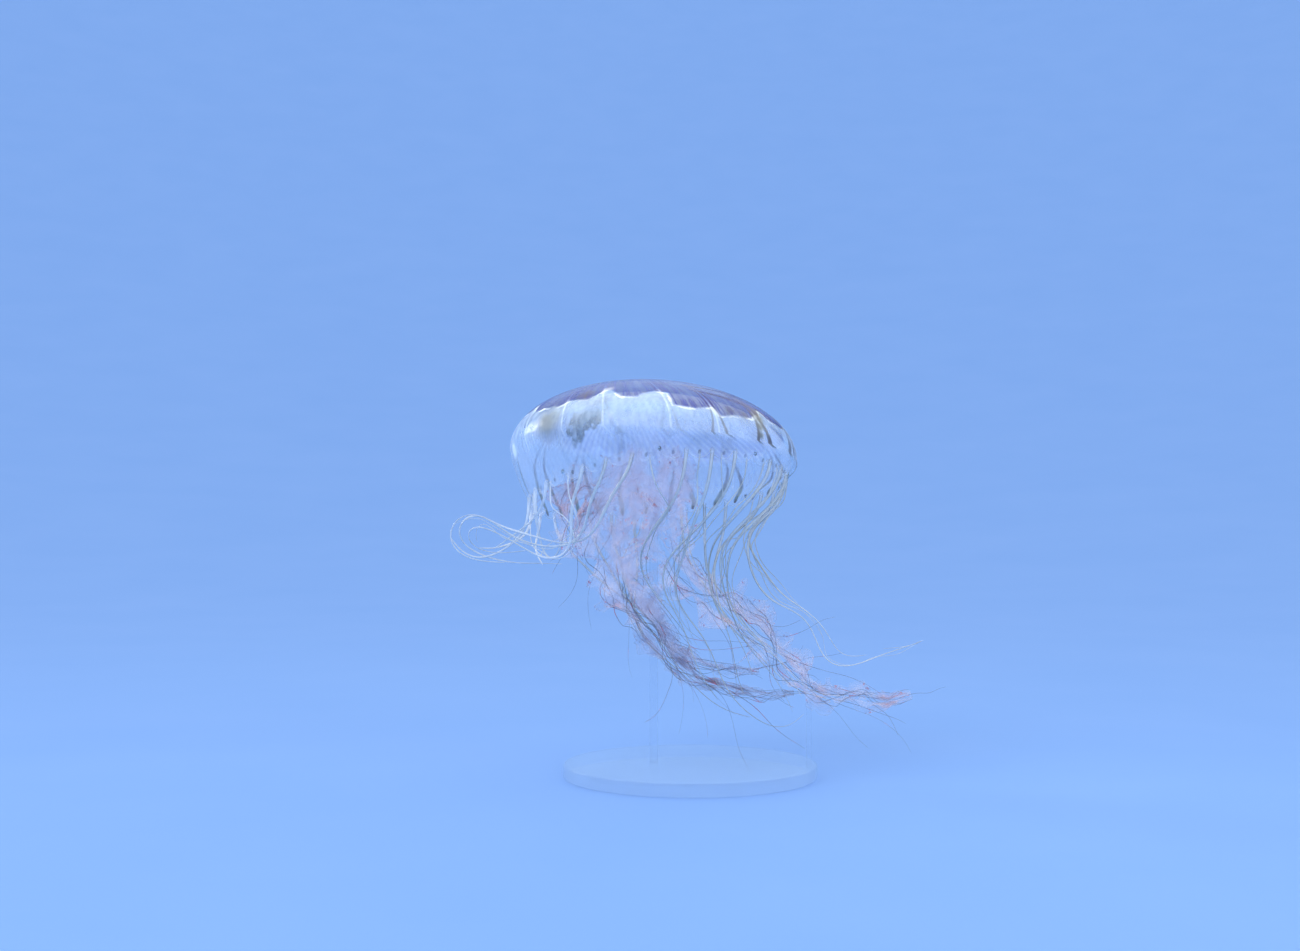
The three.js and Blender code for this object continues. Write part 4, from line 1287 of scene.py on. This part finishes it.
class SeaNettleArms(PropertyGroup):
    curtains: number_setting("Curtains", "Ruffled sheets of each arm", 6, IntProperty, min=2, max=8)
    fullness: number_setting("Fullness", "Reach of the curtains as a share of the CAD arm's", 1.4)
    strips: number_setting("Strips", "Faces across a curtain", 12, IntProperty, min=4, max=30)
    tissue: number_setting("Tissue", "Thickness of a curtain in millimetres", 0.3, min=0.1)
    soak: number_setting("Soak", "Strength of the light that soaks through the veil", 0.11)
    soak_colour: colour_setting("Soaked light", "Light that soaks through the veil", "f8f0fa")
    veil: number_setting("Veil", "Length of the mouth's veil in millimetres", 46)
    wisps: number_setting("Wisps", "Threads on 300 mm of arm", 28, IntProperty, min=1)
    wisp_size: number_setting("Wisp size", "Radius of a thread in millimetres", 0.2)
    wisp_length: number_setting("Wisp length", "Least and most, in millimetres", (20, 75),
        FloatVectorProperty, size=2)
    strings: number_setting("Strings", "Long threads that trail past each arm's end", 6, IntProperty)
    aging: number_setting("Age", "How brown each arm's lower half is", (1, 0.2, 0, 0.7),
        FloatVectorProperty, size=4)
    ripeness: number_setting("Ripeness", "How dark each gonad is", (0.1, 0.2, 2.6, 0.15),
        FloatVectorProperty, size=4)
    frill: colour_setting("Frill", "Tissue of the arms", "f6e8ea")
    frill_pale: colour_setting("Pale frill", "Paler tissue", "f8f0f7")
    frill_old: colour_setting("Old frill", "Worn tissue of the lower arms", "bcbacd")
    wisp: colour_setting("Wisp", "Threads of torn frill", "868890")
    rim: colour_setting("Rim", "Outer rim of the curtains", "f3e9e6")
    fleck: colour_setting("Fleck", "Red flecks", "d05a60")
    fleck_dark: colour_setting("Dark fleck", "Red-brown flecks", "7a352c")
    flush: colour_setting("Flush", "Salmon flush of the upper arms", "e68466")
    gonad: colour_setting("Gonad", "Folded gonads", "4e4a34")
    gonad_pale: colour_setting("Pale gonad", "Upper edge of the gonads", "b59d8a")


class SeaNettleTentacles(PropertyGroup):
    sides: number_setting("Sides", "Faces round a tentacle", 12, IntProperty, min=6)
    step: number_setting("Step", "Length of a tentacle's faces in millimetres", 1.5, min=0.5)
    girth: number_setting("Girth", "Share of the CAD strand's radius", 0.8, subtype="FACTOR")
    narrowing: number_setting("Narrowing", "How much thinner a tentacle gets further down", 0.5,
        subtype="FACTOR")
    easing: number_setting("Easing", "Rounds of smoothing of a tentacle's line", 55, IntProperty)
    young_size: number_setting("Young size", "Radius of a young tentacle in millimetres", 0.55)
    pale: colour_setting("Pale", "Tentacles of the left side", "f0f8fc")
    cream: colour_setting("Cream", "Tentacles of the right side", "e4e8e2")
    # Painted shade: the olive edge lines stand in for a clear strand's darker edges.
    olive: colour_setting("Olive", "Lines along a tentacle's edges", "434e30")


class SeaNettleStand(PropertyGroup):
    foot_edge: number_setting("Foot edge", "Rounding of the foot's rim in millimetres", 1.2)
    rod_edge: number_setting("Rod edge", "Rounding of the rods' ends in millimetres", 0.6)
    clearness: number_setting("Show", "How much the acrylic's edges show", 0.5, subtype="FACTOR")
    tint: colour_setting("Acrylic", "Tint of the acrylic", "a9c8e8")


class SeaNettleStage(PropertyGroup):
    floor: colour_setting("Floor", "Floor paint", "76a1dc")
    floor_pale: colour_setting("Pale floor", "Lighter patches of the floor", "7da6df")
    air: colour_setting("Air", "Light of the room", "f2f7ff")
    air_strength: number_setting("Room light", "Strength of the room", 1.22)
    key: number_setting("Key", "Key light", 9, unit="POWER")
    rim: number_setting("Rim", "Rim light", 0.12, unit="POWER")
    fill: number_setting("Fill", "Fill light", 4, unit="POWER")


SETTINGS = {"sea_nettle_bell": SeaNettleBell, "sea_nettle_arms": SeaNettleArms,
    "sea_nettle_tentacles": SeaNettleTentacles, "sea_nettle_stand": SeaNettleStand,
    "sea_nettle_stage": SeaNettleStage}
PIECES = (SEANETTLE_OT_bell, SEANETTLE_OT_mouth, SEANETTLE_OT_gonads, SEANETTLE_OT_arms,
    SEANETTLE_OT_wisps, SEANETTLE_OT_tentacles, SEANETTLE_OT_young_tentacles, SEANETTLE_OT_sense_organs,
    SEANETTLE_OT_stand, SEANETTLE_OT_stage)


class SEANETTLE_PT_parts(Panel):
    """Lists the pieces of the model and their settings"""

    bl_idname = "SEANETTLE_PT_parts"
    bl_label = "Sea nettle"
    bl_space_type = "VIEW_3D"
    bl_region_type = "UI"
    bl_category = "Sea nettle"

    def draw(self, context):
        for operator in PIECES:
            self.layout.operator(operator.bl_idname)
        for group in SETTINGS:
            owner = getattr(context.scene, group)
            for name in owner.__annotations__:
                self.layout.prop(owner, name)


def register():
    for item in (*SETTINGS.values(), *PIECES, SEANETTLE_PT_parts):
        bpy.utils.register_class(item)
    for name, group in SETTINGS.items():
        setattr(bpy.types.Scene, name, PointerProperty(type=group))


def unregister():
    for name in SETTINGS:
        delattr(bpy.types.Scene, name)
    for item in (SEANETTLE_PT_parts, *reversed(PIECES), *reversed(SETTINGS.values())):
        bpy.utils.unregister_class(item)


def main():
    register()
    for operator in PIECES:
        name = operator.bl_idname.split(".")[1]
        getattr(bpy.ops.sea_nettle, name)()


if __name__ == "__main__":
    main()
